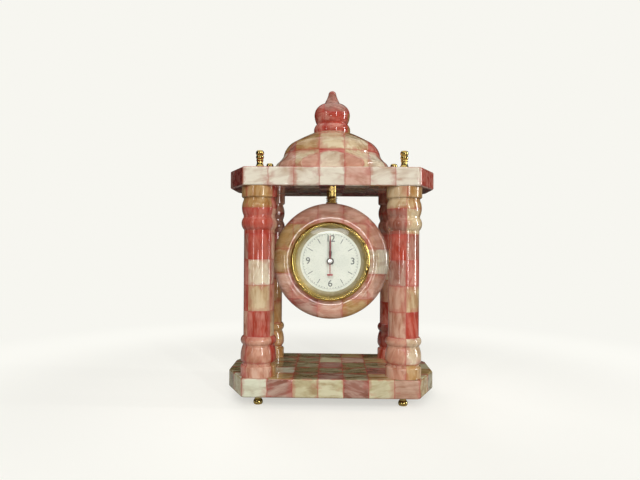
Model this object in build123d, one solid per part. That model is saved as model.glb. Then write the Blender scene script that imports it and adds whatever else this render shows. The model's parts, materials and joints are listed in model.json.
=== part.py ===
from build123d import *
import os
from math import acos, cos, hypot, pi, radians, sin, sqrt, tan

# Four-column portico clock: a shell-mosaic case tied together by brass-capped rods, with a drum
# that hangs from the roof on a brass post and holds a push-in quartz insert.
# Millimetres. The origin is on the table under the middle of the base, +Z is up, the dial faces -Y.

# Slabs
SLAB_WIDTH = 170.0
SLAB_DEPTH = 104.0
BASE_THICKNESS = 15.0
ROOF_THICKNESS = 15.0
CORNER_CUT_WIDTH = 15.5
CORNER_CUT_DEPTH = 34.0
CORNER_ROUND = 4.0
SLAB_EDGE_ROUND = 1.6

# Columns
COLUMN_HEIGHT = 150.5
COLUMN_INSET_X = 27.0
COLUMN_INSET_Y = 14.8
SHAFT_RADIUS = 12.2
MOULDING_RADIUS = 14.3
PLINTH_HEIGHT = 8.6
BASE_BELL_HEIGHT = 13.4
BEAD_HEIGHT = 6.6
MOULDING_GROOVE = 1.6
GROOVE_STEP = 0.5
ASTRAGAL_HEIGHT = 10.0
CAPITAL_BEAD_HEIGHT = 12.4
ABACUS_HEIGHT = 9.0

# Rods, nuts and post
TIE_ROD_RADIUS = 2.0
ROD_HOLE_CLEARANCE = 0.15
FOOT_HEIGHT = 8.5
FOOT_RADIUS = 4.2
FINIAL_HEIGHT = 14.5
FINIAL_RADIUS = 3.7
NUT_THREAD_DEPTH = 6.0
FINIAL_WALL = 0.5
FOOT_WALL = 0.6
CENTRE_ROD_RADIUS = 2.0
POST_RADIUS = 5.0
DRUM_DROP = 11.0
LOCK_NUT_WIDTH = 7.0
LOCK_NUT_HEIGHT = 3.2
LOCK_WASHER_RADIUS = 5.0
LOCK_WASHER_THICKNESS = 1.0
LOCK_POCKET_CLEARANCE = 0.6
SOCKET_RADIUS = 3.4
SOCKET_LENGTH = 12.0

# Dome and spire
DOME_RADIUS = 49.0
DOME_BEAD_HEIGHT = 7.8
DOME_BEAD_SWELL = 1.5
DOME_HEIGHT = 35.0
DOME_FLAT_DEPTH = 85.0
DOME_TOP_RADIUS = 16.2
SPIRE_HEIGHT = 37.4
SPIRE_BULB_RADIUS = 15.4
SPIRE_NECK_RADIUS = 13.2
SPIRE_TIP_RADIUS = 3.4
SPIRE_THREAD_DEPTH = 15.0
SPIRE_INSET = 0.9

# Drum
DRUM_RADIUS = 49.0
DRUM_THICKNESS = 34.0
DRUM_RIM_ROUND = 6.0
DRUM_COVE_RADIUS = 41.0
DRUM_COVE_WIDTH = 5.2
DRUM_COVE_DEPTH = 1.6
DRUM_TURN = -3.0

# Insert case
BEZEL_RADIUS = 33.4
BEZEL_LIP_RADIUS = 30.0
BEZEL_HEIGHT = 4.6
CUP_RADIUS = 30.0
CUP_WALL = 0.8
CUP_LEDGE = 0.8
CUP_FLANGE_THICKNESS = 0.6
CUP_FIT = 0.8
GRIP_WIDTH = 6.0
GRIP_SETBACK = 4.0
RUNNING_FIT = 0.05
LENS_EDGE = 1.2
LENS_DOME = 3.4
LENS_SEAT = 1.1
LENS_LIP_CLEARANCE = 0.3
BEZEL_LIP_HEIGHT = 0.6
FLANGE_INSET = 0.5
REFLECTOR_RIM = 0.8
REFLECTOR_BEAD = 0.5
REFLECTOR_FOOT = 0.4
DIAL_DEPTH = 2.0
DIAL_THICKNESS = 0.4
DIAL_PLAY = 0.1
HAND_HOLE_PLAY = 0.2
DIAL_VIEW_RADIUS = 25.5
BACK_COVER_THICKNESS = 1.2
BACK_LIP = 0.8
GRIP_RIBS = 4

# Movement plates and layers
FRONT_PLATE_THICKNESS = 1.4
REAR_PLATE_THICKNESS = 1.0
REAR_PLATE_RADIUS = 19.5
WHEEL_THICKNESS = 0.6
LAYER_GAP = 0.6
PIVOT_DEPTH = 0.9
END_SHAKE = 0.1
PILLAR_RADIUS = 1.4
SCREW_RADIUS = 0.5
SCREW_HEAD_RADIUS = 1.1
SCREW_HEAD_HEIGHT = 0.6
SCREW_DEPTH = 2.4

# Wheel train
PRESSURE_ANGLE = radians(20)
BACKLASH = 0.16
WHEEL_ADDENDUM = 0.45
WHEEL_DEDENDUM = 1.15
PINION_ADDENDUM = 0.85
PINION_DEDENDUM = 0.75
MINUTE_WHEEL_OFFSET = 9.0
THIRD_WHEEL_OFFSET = 8.05
THIRD_WHEEL_BEARING = 170.0
FIFTH_WHEEL_OFFSET = 8.05
FIFTH_WHEEL_BEARING = 60.0
ROTOR_OFFSET = 6.0
ARBOR_RADIUS = 0.35
SET_ARBOR_RADIUS = 0.8
SECOND_SHAFT_RADIUS = 0.6
MINUTE_PIPE_RADIUS = 1.65
MINUTE_PIPE_TAIL_RADIUS = 1.2
HOUR_PIPE_RADIUS = 2.4
CANNON_TEETH, MINUTE_WHEEL_TEETH = 12, 36
MINUTE_PINION_TEETH, HOUR_WHEEL_TEETH = 10, 40
SECOND_PINION_TEETH, THIRD_WHEEL_TEETH = 8, 60
THIRD_PINION_TEETH, CENTRE_WHEEL_TEETH = 8, 64
FIFTH_PINION_TEETH, SECOND_WHEEL_TEETH = 10, 60
ROTOR_PINION_TEETH, FIFTH_WHEEL_TEETH = 8, 40

# Motor, battery and circuit
MAGNET_RADIUS = 2.0
MAGNET_LENGTH = 2.0
STATOR_THICKNESS = 1.0
STATOR_AIR_GAP = 0.5
STATOR_HALF_SPAN = 11.5
STATOR_ARM_WIDTH = 4.0
STATOR_RIM = 1.0
CORE_WIDTH = 2.0
CORE_THICKNESS = 0.8
COIL_RADIUS = 2.6
COIL_LENGTH = 13.6
COIL_CHEEK = 0.6
COIL_CLEARANCE = 1.0
BATTERY_RADIUS = 5.8
BATTERY_HEIGHT = 5.4
BATTERY_AT = (11.5, -7.5)
BATTERY_PLAY = 0.6
BATTERY_COVER_FLANGE = 1.0
BATTERY_COVER_LAP = 0.8
COIN_SLOT_WIDTH = 1.3
CONTACT_THICKNESS = 0.3
CONTACT_WIDTH = 1.8
BOARD_THICKNESS = 0.8
BOARD_WIDTH = 10.0
BOARD_LENGTH = 12.0
BOARD_AT = (-17.0, -7.0)
BOARD_CORNER = 1.0
CHIP_HEIGHT = 0.7
CRYSTAL_RADIUS = 1.0
CRYSTAL_LENGTH = 6.0

# Hands and setting knob
HAND_THICKNESS = 0.3
HAND_SPACING = 1.1
HOUR_HAND_LENGTH = 10.4
HOUR_HAND_WIDTH = 2.6
MINUTE_HAND_LENGTH = 20.8
MINUTE_HAND_WIDTH = 1.7
SECOND_HAND_LENGTH = 21.5
SECOND_HAND_TAIL = 11.2
SECOND_HAND_WIDTH = 0.7
SECOND_BAR_WIDTH = 4.6
HAND_BOSS_RADIUS = 3.0
KNOB_RADIUS = 4.2
KNOB_HEIGHT = 4.0
KNOB_FLUTES = 16
KNOB_COLLAR = 0.8
KNOB_END_WALL = 1.0

# Heights of the case, from the table up
base_bottom = FOOT_HEIGHT
base_top = base_bottom + BASE_THICKNESS
roof_bottom = base_top + COLUMN_HEIGHT
roof_top = roof_bottom + ROOF_THICKNESS
dome_top = roof_top + DOME_HEIGHT
drum_top = roof_bottom - DRUM_DROP
drum_centre = drum_top - DRUM_RADIUS
post_seat = drum_centre + sqrt(DRUM_RADIUS**2 - POST_RADIUS**2)
rod_hole_radius = TIE_ROD_RADIUS + ROD_HOLE_CLEARANCE
centre_hole_radius = CENTRE_ROD_RADIUS + ROD_HOLE_CLEARANCE

# Column axes
column_x = SLAB_WIDTH / 2 - COLUMN_INSET_X
column_y = SLAB_DEPTH / 2 - COLUMN_INSET_Y
CORNERS = {
    "front_left": (-column_x, -column_y),
    "front_right": (column_x, -column_y),
    "rear_left": (-column_x, column_y),
    "rear_right": (column_x, column_y),
}

# Radii of the insert's case
cup_inside = CUP_RADIUS - CUP_WALL
flange_radius = BEZEL_RADIUS - FLANGE_INSET
lens_radius = BEZEL_LIP_RADIUS + LENS_SEAT
battery_well = BATTERY_RADIUS + BATTERY_PLAY

# Levels in front of the dial's face
seat_level = DIAL_DEPTH
flange_level = seat_level + CUP_FLANGE_THICKNESS
reflector_level = flange_level + REFLECTOR_RIM
lens_level = reflector_level + LENS_EDGE

# Depths behind the dial's face, from the dial back
plate_front = DIAL_THICKNESS
plate_back = plate_front + FRONT_PLATE_THICKNESS


def next_layer(after):
    """Front and back depth of the wheel layer that follows the given depth."""
    return after + LAYER_GAP, after + LAYER_GAP + WHEEL_THICKNESS


HOUR_LAYER = next_layer(plate_back)
MINUTE_LAYER = next_layer(HOUR_LAYER[1])
CENTRE_LAYER = next_layer(MINUTE_LAYER[1])
THIRD_LAYER = next_layer(CENTRE_LAYER[1])
SECOND_LAYER = next_layer(THIRD_LAYER[1])
FIFTH_LAYER = next_layer(SECOND_LAYER[1])
magnet_front = FIFTH_LAYER[1] + LAYER_GAP
magnet_back = magnet_front + MAGNET_LENGTH
stator_front = magnet_front + (MAGNET_LENGTH - STATOR_THICKNESS) / 2
stator_back = stator_front + STATOR_THICKNESS
core_back = stator_back + CORE_THICKNESS
rear_plate_front = magnet_back + LAYER_GAP
rear_plate_back = rear_plate_front + REAR_PLATE_THICKNESS
contact_front = stator_front
board_front = contact_front + CONTACT_THICKNESS
board_back = board_front + BOARD_THICKNESS
battery_front = board_front
battery_back = battery_front + BATTERY_HEIGHT
cover_front = battery_back + LAYER_GAP
cover_back = cover_front + BACK_COVER_THICKNESS
cup_back = cover_back + BACK_LIP
knob_front = cup_back + LAYER_GAP
knob_back = knob_front + KNOB_HEIGHT
hour_hand_back = -HAND_SPACING
minute_hand_back = hour_hand_back - HAND_THICKNESS - HAND_SPACING
second_hand_back = minute_hand_back - HAND_THICKNESS - HAND_SPACING


def bearing(distance, angle):
    """Point on the dial plane at a distance and an angle in degrees from the dial's centre."""
    return distance * cos(radians(angle)), distance * sin(radians(angle))


CENTRE = (0.0, 0.0)
MINUTE_WHEEL_AT = (0.0, -MINUTE_WHEEL_OFFSET)
THIRD_WHEEL_AT = bearing(THIRD_WHEEL_OFFSET, THIRD_WHEEL_BEARING)
FIFTH_WHEEL_AT = bearing(FIFTH_WHEEL_OFFSET, FIFTH_WHEEL_BEARING)
ROTOR_AT = bearing(FIFTH_WHEEL_OFFSET + ROTOR_OFFSET, FIFTH_WHEEL_BEARING)
PILLARS = [(-14.0, 11.0), (13.0, 2.0), (-9.5, -8.4)]
coil_height = ROTOR_AT[1] + MAGNET_RADIUS + STATOR_AIR_GAP + COIL_CLEARANCE + COIL_RADIUS
STATOR_POSTS = [
    (side * (STATOR_HALF_SPAN - STATOR_ARM_WIDTH / 2), coil_height) for side in (-1, 1)
]
BOARD_POSTS = [
    (BOARD_AT[0] + BOARD_WIDTH * share, BOARD_AT[1] + BOARD_LENGTH * 0.3) for share in (-0.28, 0.1)
]

# The dial plane: x to the viewer's right, y up, z towards the viewer, turned with the drum
turn = radians(DRUM_TURN)
dial_setback = DRUM_THICKNESS / 2 - DIAL_DEPTH
facing = (sin(turn), -cos(turn), 0)
DIAL_PLANE = Plane(
    origin=(facing[0] * dial_setback, facing[1] * dial_setback, drum_centre),
    x_dir=(cos(turn), sin(turn), 0),
    z_dir=facing,
)


# Rise of a quarter-circle arc, as a share of its radius
QUARTER = 1 - sqrt(0.5)


def outline(stations):
    """Closed edges through stations (across, up) or (across, up, rise).

    A rise bows the stretch that ends at the station, to the right of its direction when positive.
    """
    edges = []
    for start, end in zip(stations, stations[1:] + stations[:1]):
        first, last = start[:2], end[:2]
        rise = end[2] if len(end) > 2 else 0
        if rise:
            across, up = last[0] - first[0], last[1] - first[1]
            run = hypot(across, up)
            middle = (
                (first[0] + last[0]) / 2 + rise * up / run,
                (first[1] + last[1]) / 2 - rise * across / run,
            )
            edges.append(ThreePointArc(first, middle, last))
        else:
            edges.append(Line(first, last))
    return make_face(edges)


def cap_rise(radius, height):
    """Rise of the arc from the rim of a round cap to its crown, level at the crown."""
    ball = (radius**2 + height**2) / (2 * height)
    return ball - sqrt(ball**2 - (radius**2 + height**2) / 4)


def turned(*stations):
    """Solid turned about Z from stations of radius and height."""
    return revolve(Plane.XZ * outline(list(stations)), Axis.Z)


def rod(radius, bottom, top, at=CENTRE):
    """Upright cylinder between two heights."""
    return Pos(at[0], at[1], bottom) * Cylinder(
        radius, top - bottom, align=(Align.CENTER, Align.CENTER, Align.MIN)
    )


def slab(face, front, back):
    """Solid made from a face on the dial plane, between two depths behind the dial."""
    return extrude(Pos(0, 0, -back) * face, back - front)


def pin(radius, front, back, at=CENTRE):
    """Cylinder square to the dial plane, between two depths behind the dial."""
    return slab(Pos(*at) * Circle(radius), front, back)


def on_dial(shape):
    """Shape built on the dial plane, set in its place in the drum."""
    return DIAL_PLANE.location * shape


# Case


def mosaic_slab(bottom, thickness, centre_hole):
    """Slab with long cut corners, eased edges and a hole for each rod."""
    cross = Rectangle(SLAB_WIDTH, SLAB_DEPTH - 2 * CORNER_CUT_DEPTH)
    cross += Rectangle(SLAB_WIDTH - 2 * CORNER_CUT_WIDTH, SLAB_DEPTH)
    plan = make_hull(cross.edges())
    plan = fillet(plan.vertices(), CORNER_ROUND)
    body = extrude(Pos(0, 0, bottom) * plan, thickness)
    rims = body.faces().sort_by(Axis.Z)[0].edges() + body.faces().sort_by(Axis.Z)[-1].edges()
    body = fillet(rims, SLAB_EDGE_ROUND)
    for at in CORNERS.values():
        body -= rod(rod_hole_radius, bottom, bottom + thickness, at)
    if centre_hole:
        body -= rod(centre_hole_radius, bottom, bottom + thickness)
    return body


def column(at):
    """Turned column: plinth, bell and bead below the shaft, astragal, bead and abacus above it."""
    wide, shaft = MOULDING_RADIUS, SHAFT_RADIUS
    groove = shaft + GROOVE_STEP
    ease = (wide - groove) * 0.9
    bell = PLINTH_HEIGHT + MOULDING_GROOVE
    bead = bell + BASE_BELL_HEIGHT + MOULDING_GROOVE
    shaft_start = bead + BEAD_HEIGHT
    abacus = COLUMN_HEIGHT - ABACUS_HEIGHT
    cap_bead = abacus - MOULDING_GROOVE - CAPITAL_BEAD_HEIGHT
    astragal = cap_bead - MOULDING_GROOVE - ASTRAGAL_HEIGHT
    swell = wide - groove
    body = turned(
        (0, 0),
        (wide, 0),
        (wide, PLINTH_HEIGHT - ease),
        (wide - ease, PLINTH_HEIGHT, ease * QUARTER),
        (groove, PLINTH_HEIGHT),
        (groove, bell),
        (wide, bell + BASE_BELL_HEIGHT * 0.34, swell * 0.35),
        (groove, bell + BASE_BELL_HEIGHT, swell * 0.3),
        (groove, bead - MOULDING_GROOVE * 0.25),
        (shaft, shaft_start, wide - (shaft + groove) / 2),
        (shaft, astragal),
        (groove, astragal + ASTRAGAL_HEIGHT, wide - (shaft + groove) / 2),
        (groove, cap_bead),
        (groove, abacus - MOULDING_GROOVE, swell * 0.85),
        (groove, abacus),
        (wide - ease, abacus),
        (wide, abacus + ease, ease * QUARTER),
        (wide, COLUMN_HEIGHT),
        (0, COLUMN_HEIGHT),
    )
    body -= rod(rod_hole_radius, 0, COLUMN_HEIGHT)
    return Pos(at[0], at[1], base_top) * body


def tie_rod(at):
    """Threaded rod through the base, a column and the roof, held by a nut at each end."""
    return rod(TIE_ROD_RADIUS, base_bottom - NUT_THREAD_DEPTH, roof_top + NUT_THREAD_DEPTH, at)


def finial_nut(at):
    """Turned brass nut on the roof: flared foot, two beads and a knob."""
    foot, knob = FINIAL_RADIUS, FINIAL_RADIUS * 0.78
    waist = TIE_ROD_RADIUS + FINIAL_WALL
    height = FINIAL_HEIGHT
    body = turned(
        (0, 0),
        (foot, 0),
        (foot, height * 0.1),
        (waist, height * 0.38, -0.4),
        (waist, height * 0.51, knob * 0.14),
        (waist, height * 0.72, knob * 0.24),
        (knob * 0.7, height, knob * 0.36),
        (0, height),
    )
    body -= rod(TIE_ROD_RADIUS, 0, NUT_THREAD_DEPTH)
    return Pos(at[0], at[1], roof_top) * body


def foot_nut(at):
    """Turned brass foot under the base: a collar against the slab and a rounded tread."""
    tread = FOOT_RADIUS * 0.75
    waist = TIE_ROD_RADIUS + FOOT_WALL
    body = turned(
        (0, 0),
        (tread, 0),
        (waist, FOOT_HEIGHT * 0.5, 0.9),
        (FOOT_RADIUS, FOOT_HEIGHT * 0.82, -0.3),
        (FOOT_RADIUS, FOOT_HEIGHT),
        (0, FOOT_HEIGHT),
    )
    body -= rod(TIE_ROD_RADIUS, FOOT_HEIGHT - NUT_THREAD_DEPTH, FOOT_HEIGHT)
    return Pos(*at) * body


def dome():
    """Turned ogee dome on a rounded foot, with a flat front and back, hollowed for the lock nut."""
    foot, top, height = DOME_RADIUS, DOME_TOP_RADIUS, DOME_HEIGHT
    bead = foot - DOME_BEAD_SWELL
    body = turned(
        (0, 0),
        (bead, 0),
        (bead, DOME_BEAD_HEIGHT, DOME_BEAD_SWELL),
        (foot * 0.855, height * 0.41, -0.5),
        (foot * 0.663, height * 0.77, 2.0),
        (top, height, 0.3),
        (0, height),
    )
    body &= Pos(0, 0, height / 2) * Box(2 * foot, DOME_FLAT_DEPTH, height)
    pocket = LOCK_WASHER_RADIUS + LOCK_POCKET_CLEARANCE
    body -= rod(pocket, 0, LOCK_WASHER_THICKNESS + LOCK_NUT_HEIGHT + LOCK_POCKET_CLEARANCE)
    body -= rod(centre_hole_radius, 0, height)
    return Pos(0, 0, roof_top) * body


def spire():
    """Turned spire: collar, bulb and tapering spike, screwed on the centre rod."""
    neck, bulb, tip, height = SPIRE_NECK_RADIUS, SPIRE_BULB_RADIUS, SPIRE_TIP_RADIUS, SPIRE_HEIGHT
    body = turned(
        (0, 0),
        (DOME_TOP_RADIUS - SPIRE_INSET, 0),
        (neck, height * 0.215, 1.3),
        (bulb, height * 0.43, 0.5),
        (tip * 2.2, height * 0.69, 2.1),
        (tip * 1.72, height * 0.75, -0.3),
        (tip, height - tip, -0.2),
        (0, height, cap_rise(tip, tip)),
    )
    body -= rod(CENTRE_ROD_RADIUS, 0, SPIRE_THREAD_DEPTH)
    return Pos(0, 0, dome_top) * body


def centre_rod():
    """Threaded rod from the drum's socket up through post, roof and dome into the spire."""
    return rod(CENTRE_ROD_RADIUS, post_seat - SOCKET_LENGTH, dome_top + SPIRE_THREAD_DEPTH)


def hanger_post():
    """Turned brass post between the roof and the drum: sleeve, two beads and a swelling foot."""
    length = roof_bottom - post_seat
    sleeve = POST_RADIUS * 0.84
    waist = sleeve * 0.86
    body = turned(
        (0, 0),
        (POST_RADIUS, 0),
        (POST_RADIUS, length * 0.06),
        (waist, length * 0.26, 0.3),
        (waist, length * 0.4, sleeve - waist),
        (waist, length * 0.54, sleeve - waist),
        (waist, length * 0.57),
        (sleeve, length * 0.61),
        (sleeve, length),
        (0, length),
    )
    body -= rod(CENTRE_ROD_RADIUS, 0, length)
    return Pos(0, 0, post_seat) * body


def lock_washer():
    """Washer on the roof, inside the dome."""
    disc = rod(LOCK_WASHER_RADIUS, roof_top, roof_top + LOCK_WASHER_THICKNESS)
    return disc - rod(CENTRE_ROD_RADIUS, roof_top, dome_top)


def lock_nut():
    """Hexagon nut on the washer, which carries the drum's weight."""
    bottom = roof_top + LOCK_WASHER_THICKNESS
    hexagon = RegularPolygon(LOCK_NUT_WIDTH / 2, 6, major_radius=False)
    body = extrude(Pos(0, 0, bottom) * hexagon, LOCK_NUT_HEIGHT)
    return body - rod(CENTRE_ROD_RADIUS, bottom, dome_top)


def drum_socket():
    """Threaded brass socket let into the top of the drum."""
    body = rod(SOCKET_RADIUS, post_seat - SOCKET_LENGTH, post_seat)
    return body - rod(CENTRE_ROD_RADIUS, post_seat - SOCKET_LENGTH, post_seat)


def drum():
    """Turned drum with rounded rims and a cove round the bezel, bored through for the insert."""
    half, rim, bore = DRUM_THICKNESS / 2, DRUM_RIM_ROUND, CUP_RADIUS + CUP_FIT
    body = turned(
        (bore, -half),
        (DRUM_RADIUS - rim, -half),
        (DRUM_RADIUS, rim - half, rim * QUARTER),
        (DRUM_RADIUS, half - rim),
        (DRUM_RADIUS - rim, half, rim * QUARTER),
        (DRUM_COVE_RADIUS, half),
        (DRUM_COVE_RADIUS - DRUM_COVE_WIDTH, half - DRUM_COVE_DEPTH, -DRUM_COVE_DEPTH * QUARTER),
        (BEZEL_RADIUS, half - DRUM_COVE_DEPTH),
        (BEZEL_RADIUS, half),
        (bore, half),
    )
    body = on_dial(Pos(0, 0, -dial_setback) * body)
    body -= rod(POST_RADIUS + ROD_HOLE_CLEARANCE, post_seat, drum_top)
    return body - rod(SOCKET_RADIUS, post_seat - SOCKET_LENGTH, post_seat)


# Insert case


def bezel():
    """Rolled brass ring that grips the cup's flange and holds the lens under its lip."""
    front = seat_level + BEZEL_HEIGHT
    crown = (BEZEL_RADIUS + BEZEL_LIP_RADIUS) / 2
    return on_dial(
        turned(
            (flange_radius + RUNNING_FIT, seat_level),
            (BEZEL_RADIUS, seat_level),
            (BEZEL_RADIUS, lens_level - LENS_EDGE / 2),
            (crown, front, 0.6),
            (BEZEL_LIP_RADIUS, lens_level + BEZEL_LIP_HEIGHT, 0.5),
            (BEZEL_LIP_RADIUS, lens_level),
            (lens_radius + RUNNING_FIT, lens_level),
            (lens_radius + RUNNING_FIT, flange_level),
            (flange_radius + RUNNING_FIT, flange_level),
        )
    )


def lens():
    """Domed glass with a flat rim."""
    dome_radius = BEZEL_LIP_RADIUS - LENS_LIP_CLEARANCE
    top = lens_level + LENS_DOME
    rise = cap_rise(dome_radius, LENS_DOME)
    return on_dial(
        turned(
            (lens_radius, reflector_level),
            (lens_radius, lens_level),
            (dome_radius, lens_level),
            (0, top, rise),
            (0, top - LENS_EDGE),
            (dome_radius, reflector_level, -rise),
        )
    )


def reflector_ring():
    """Gilt cone between the lens and the dial."""
    wall = cup_inside - DIAL_PLAY
    return on_dial(
        turned(
            (DIAL_VIEW_RADIUS, 0),
            (wall, 0),
            (wall, flange_level),
            (lens_radius, flange_level),
            (lens_radius, reflector_level),
            (lens_radius - REFLECTOR_BEAD, reflector_level),
            (DIAL_VIEW_RADIUS + REFLECTOR_FOOT / 2, REFLECTOR_FOOT, 0.25),
            (DIAL_VIEW_RADIUS, REFLECTOR_FOOT),
        )
    )


def dial():
    """Printed dial disc with a hole for the hand pipes."""
    disc = pin(cup_inside - DIAL_PLAY, 0, DIAL_THICKNESS)
    return on_dial(disc - pin(HOUR_PIPE_RADIUS + HAND_HOLE_PLAY, 0, DIAL_THICKNESS))


def cup():
    """Spun metal cup with a flange in front, a ledge for the plate and a lip at the back."""
    ledge = cup_inside - CUP_LEDGE
    return on_dial(
        turned(
            (ledge - BACK_LIP, -cup_back),
            (CUP_RADIUS, -cup_back),
            (CUP_RADIUS, seat_level),
            (flange_radius, seat_level),
            (flange_radius, flange_level),
            (cup_inside, flange_level),
            (cup_inside, -plate_back),
            (ledge, -plate_back),
            (ledge, -cover_back),
            (ledge - BACK_LIP, -cover_back),
        )
    )


def grip_ring():
    """Ribbed plastic band round the cup, which holds the insert in the drum."""
    outside = CUP_RADIUS + CUP_FIT - RUNNING_FIT
    root = CUP_RADIUS + CUP_FIT * 0.5
    pitch = GRIP_WIDTH / GRIP_RIBS
    start = seat_level - GRIP_SETBACK
    profile = [(CUP_RADIUS, start), (CUP_RADIUS, start - GRIP_WIDTH)]
    for rib in range(GRIP_RIBS):
        low = start - GRIP_WIDTH + rib * pitch
        profile += [(root, low), (outside, low + pitch / 2)]
    profile.append((root, start))
    return on_dial(turned(*profile))


def back_cover():
    """Round plastic back with openings for the setting arbor and the battery."""
    disc = pin(cup_inside - CUP_LEDGE - RUNNING_FIT, cover_front, cover_back)
    disc -= pin(SET_ARBOR_RADIUS + RUNNING_FIT, cover_front, cover_back, MINUTE_WHEEL_AT)
    return on_dial(disc - pin(battery_well, cover_front, cover_back, BATTERY_AT))


def battery_cover():
    """Plug over the battery with a flange and a coin slot."""
    rim = cover_back + BATTERY_COVER_FLANGE
    body = pin(battery_well - RUNNING_FIT, battery_back + END_SHAKE, cover_back, BATTERY_AT)
    body += pin(battery_well + BATTERY_COVER_LAP, cover_back, rim, BATTERY_AT)
    slot = Pos(*BATTERY_AT) * Rectangle(battery_well * 1.4, COIN_SLOT_WIDTH)
    return on_dial(body - slab(slot, rim - BATTERY_COVER_FLANGE / 2, rim))


# Wheel train


def involute(angle):
    """Involute function of an angle."""
    return tan(angle) - angle


def gear_face(teeth, module, addendum, dedendum, phase, at):
    """Gear outline with each flank in two straight runs, its first tooth at the phase angle."""
    pitch = module * teeth / 2
    base = pitch * cos(PRESSURE_ANGLE)
    at_pitch = pi / (2 * teeth) - BACKLASH / (2 * teeth)

    def half_tooth(radius):
        """Half angle of a tooth at a radius, constant below the base circle."""
        leaning = acos(base / max(radius, base))
        return at_pitch + involute(PRESSURE_ANGLE) - involute(leaning)

    radii = (pitch - dedendum * module, pitch, pitch + addendum * module)
    points = []
    for tooth in range(teeth):
        middle = phase + 2 * pi * tooth / teeth
        flank = [(radius, half_tooth(radius)) for radius in radii]
        points += [(radius, middle - half) for radius, half in flank]
        points += [(radius, middle + half) for radius, half in reversed(flank)]
    corners = [(radius * cos(angle), radius * sin(angle)) for radius, angle in points]
    return Pos(*at) * make_face(Polyline(*corners, close=True))


def mesh(driver_at, driver_teeth, driven_at, driven_teeth, layer):
    """Driver pinion and driven wheel, in mesh on one layer."""
    across, up = driven_at[0] - driver_at[0], driven_at[1] - driver_at[1]
    module = 2 * hypot(across, up) / (driver_teeth + driven_teeth)
    line = Vector(across, up, 0)
    heading = radians(Vector(1, 0, 0).get_signed_angle(line, Vector(0, 0, 1)))
    offset = heading * driver_teeth / (2 * pi)
    phase = heading + pi - (0.5 - offset) * 2 * pi / driven_teeth
    driver = gear_face(driver_teeth, module, PINION_ADDENDUM, PINION_DEDENDUM, 0, driver_at)
    driven = gear_face(driven_teeth, module, WHEEL_ADDENDUM, WHEEL_DEDENDUM, phase, driven_at)
    return slab(driver, *layer), slab(driven, *layer)


rotor_gear, fifth_gear = mesh(
    ROTOR_AT, ROTOR_PINION_TEETH, FIFTH_WHEEL_AT, FIFTH_WHEEL_TEETH, FIFTH_LAYER
)
fifth_leaves, second_gear = mesh(
    FIFTH_WHEEL_AT, FIFTH_PINION_TEETH, CENTRE, SECOND_WHEEL_TEETH, SECOND_LAYER
)
second_leaves, third_gear = mesh(
    CENTRE, SECOND_PINION_TEETH, THIRD_WHEEL_AT, THIRD_WHEEL_TEETH, THIRD_LAYER
)
third_leaves, centre_gear = mesh(
    THIRD_WHEEL_AT, THIRD_PINION_TEETH, CENTRE, CENTRE_WHEEL_TEETH, CENTRE_LAYER
)
cannon_leaves, minute_gear = mesh(
    CENTRE, CANNON_TEETH, MINUTE_WHEEL_AT, MINUTE_WHEEL_TEETH, MINUTE_LAYER
)
minute_leaves, hour_gear = mesh(
    MINUTE_WHEEL_AT, MINUTE_PINION_TEETH, CENTRE, HOUR_WHEEL_TEETH, HOUR_LAYER
)
pivot_front = plate_back - PIVOT_DEPTH + END_SHAKE
pivot_back = rear_plate_back


def rotor_pinion():
    """Rotor spindle with the pinion that drives the fifth wheel."""
    body = rotor_gear + pin(ARBOR_RADIUS, pivot_front, pivot_back, ROTOR_AT)
    return on_dial(body + pin(2 * ARBOR_RADIUS, FIFTH_LAYER[1], magnet_back + END_SHAKE, ROTOR_AT))


def rotor_magnet():
    """Ring magnet on the rotor spindle."""
    ring = pin(MAGNET_RADIUS, magnet_front, magnet_back, ROTOR_AT)
    return on_dial(ring - pin(2 * ARBOR_RADIUS, magnet_front, magnet_back, ROTOR_AT))


def train_wheel(wheel, wheel_layer, leaves, leaves_layer, at):
    """Wheel and pinion on one arbor between the two plates."""
    body = wheel + leaves + pin(ARBOR_RADIUS, pivot_front, pivot_back, at)
    layers = sorted((wheel_layer, leaves_layer))
    return on_dial(body + pin(2 * ARBOR_RADIUS, layers[0][1], layers[1][0], at))


def second_wheel():
    """Second wheel and pinion on the long shaft that carries the second hand."""
    tip = second_hand_back - HAND_THICKNESS - END_SHAKE
    body = second_gear + second_leaves + pin(SECOND_SHAFT_RADIUS, tip, pivot_back)
    return on_dial(body)


def centre_wheel():
    """Centre wheel, which slips on the minute pipe when the hands are set."""
    return on_dial(centre_gear - pin(MINUTE_PIPE_TAIL_RADIUS + RUNNING_FIT, *CENTRE_LAYER))


def cannon_pinion():
    """Minute pipe with its pinion, which carries the minute hand."""
    tip = minute_hand_back - HAND_THICKNESS
    body = cannon_leaves + pin(MINUTE_PIPE_RADIUS, tip, MINUTE_LAYER[0])
    body += pin(MINUTE_PIPE_RADIUS, MINUTE_LAYER[1], CENTRE_LAYER[0] - END_SHAKE)
    body += pin(MINUTE_PIPE_TAIL_RADIUS, MINUTE_LAYER[1], CENTRE_LAYER[1] + LAYER_GAP / 2)
    return on_dial(body - pin(SECOND_SHAFT_RADIUS + RUNNING_FIT, tip, THIRD_LAYER[0]))


def minute_wheel():
    """Minute wheel and pinion on the arbor that ends in the setting knob."""
    body = minute_gear + minute_leaves
    return on_dial(body + pin(SET_ARBOR_RADIUS, pivot_front, knob_back - KNOB_END_WALL, MINUTE_WHEEL_AT))


def hour_wheel():
    """Hour wheel on the pipe that carries the hour hand."""
    tip = hour_hand_back - HAND_THICKNESS
    body = hour_gear + pin(HOUR_PIPE_RADIUS, tip, HOUR_LAYER[0])
    return on_dial(body - pin(MINUTE_PIPE_RADIUS + RUNNING_FIT, tip, HOUR_LAYER[1]))


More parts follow.
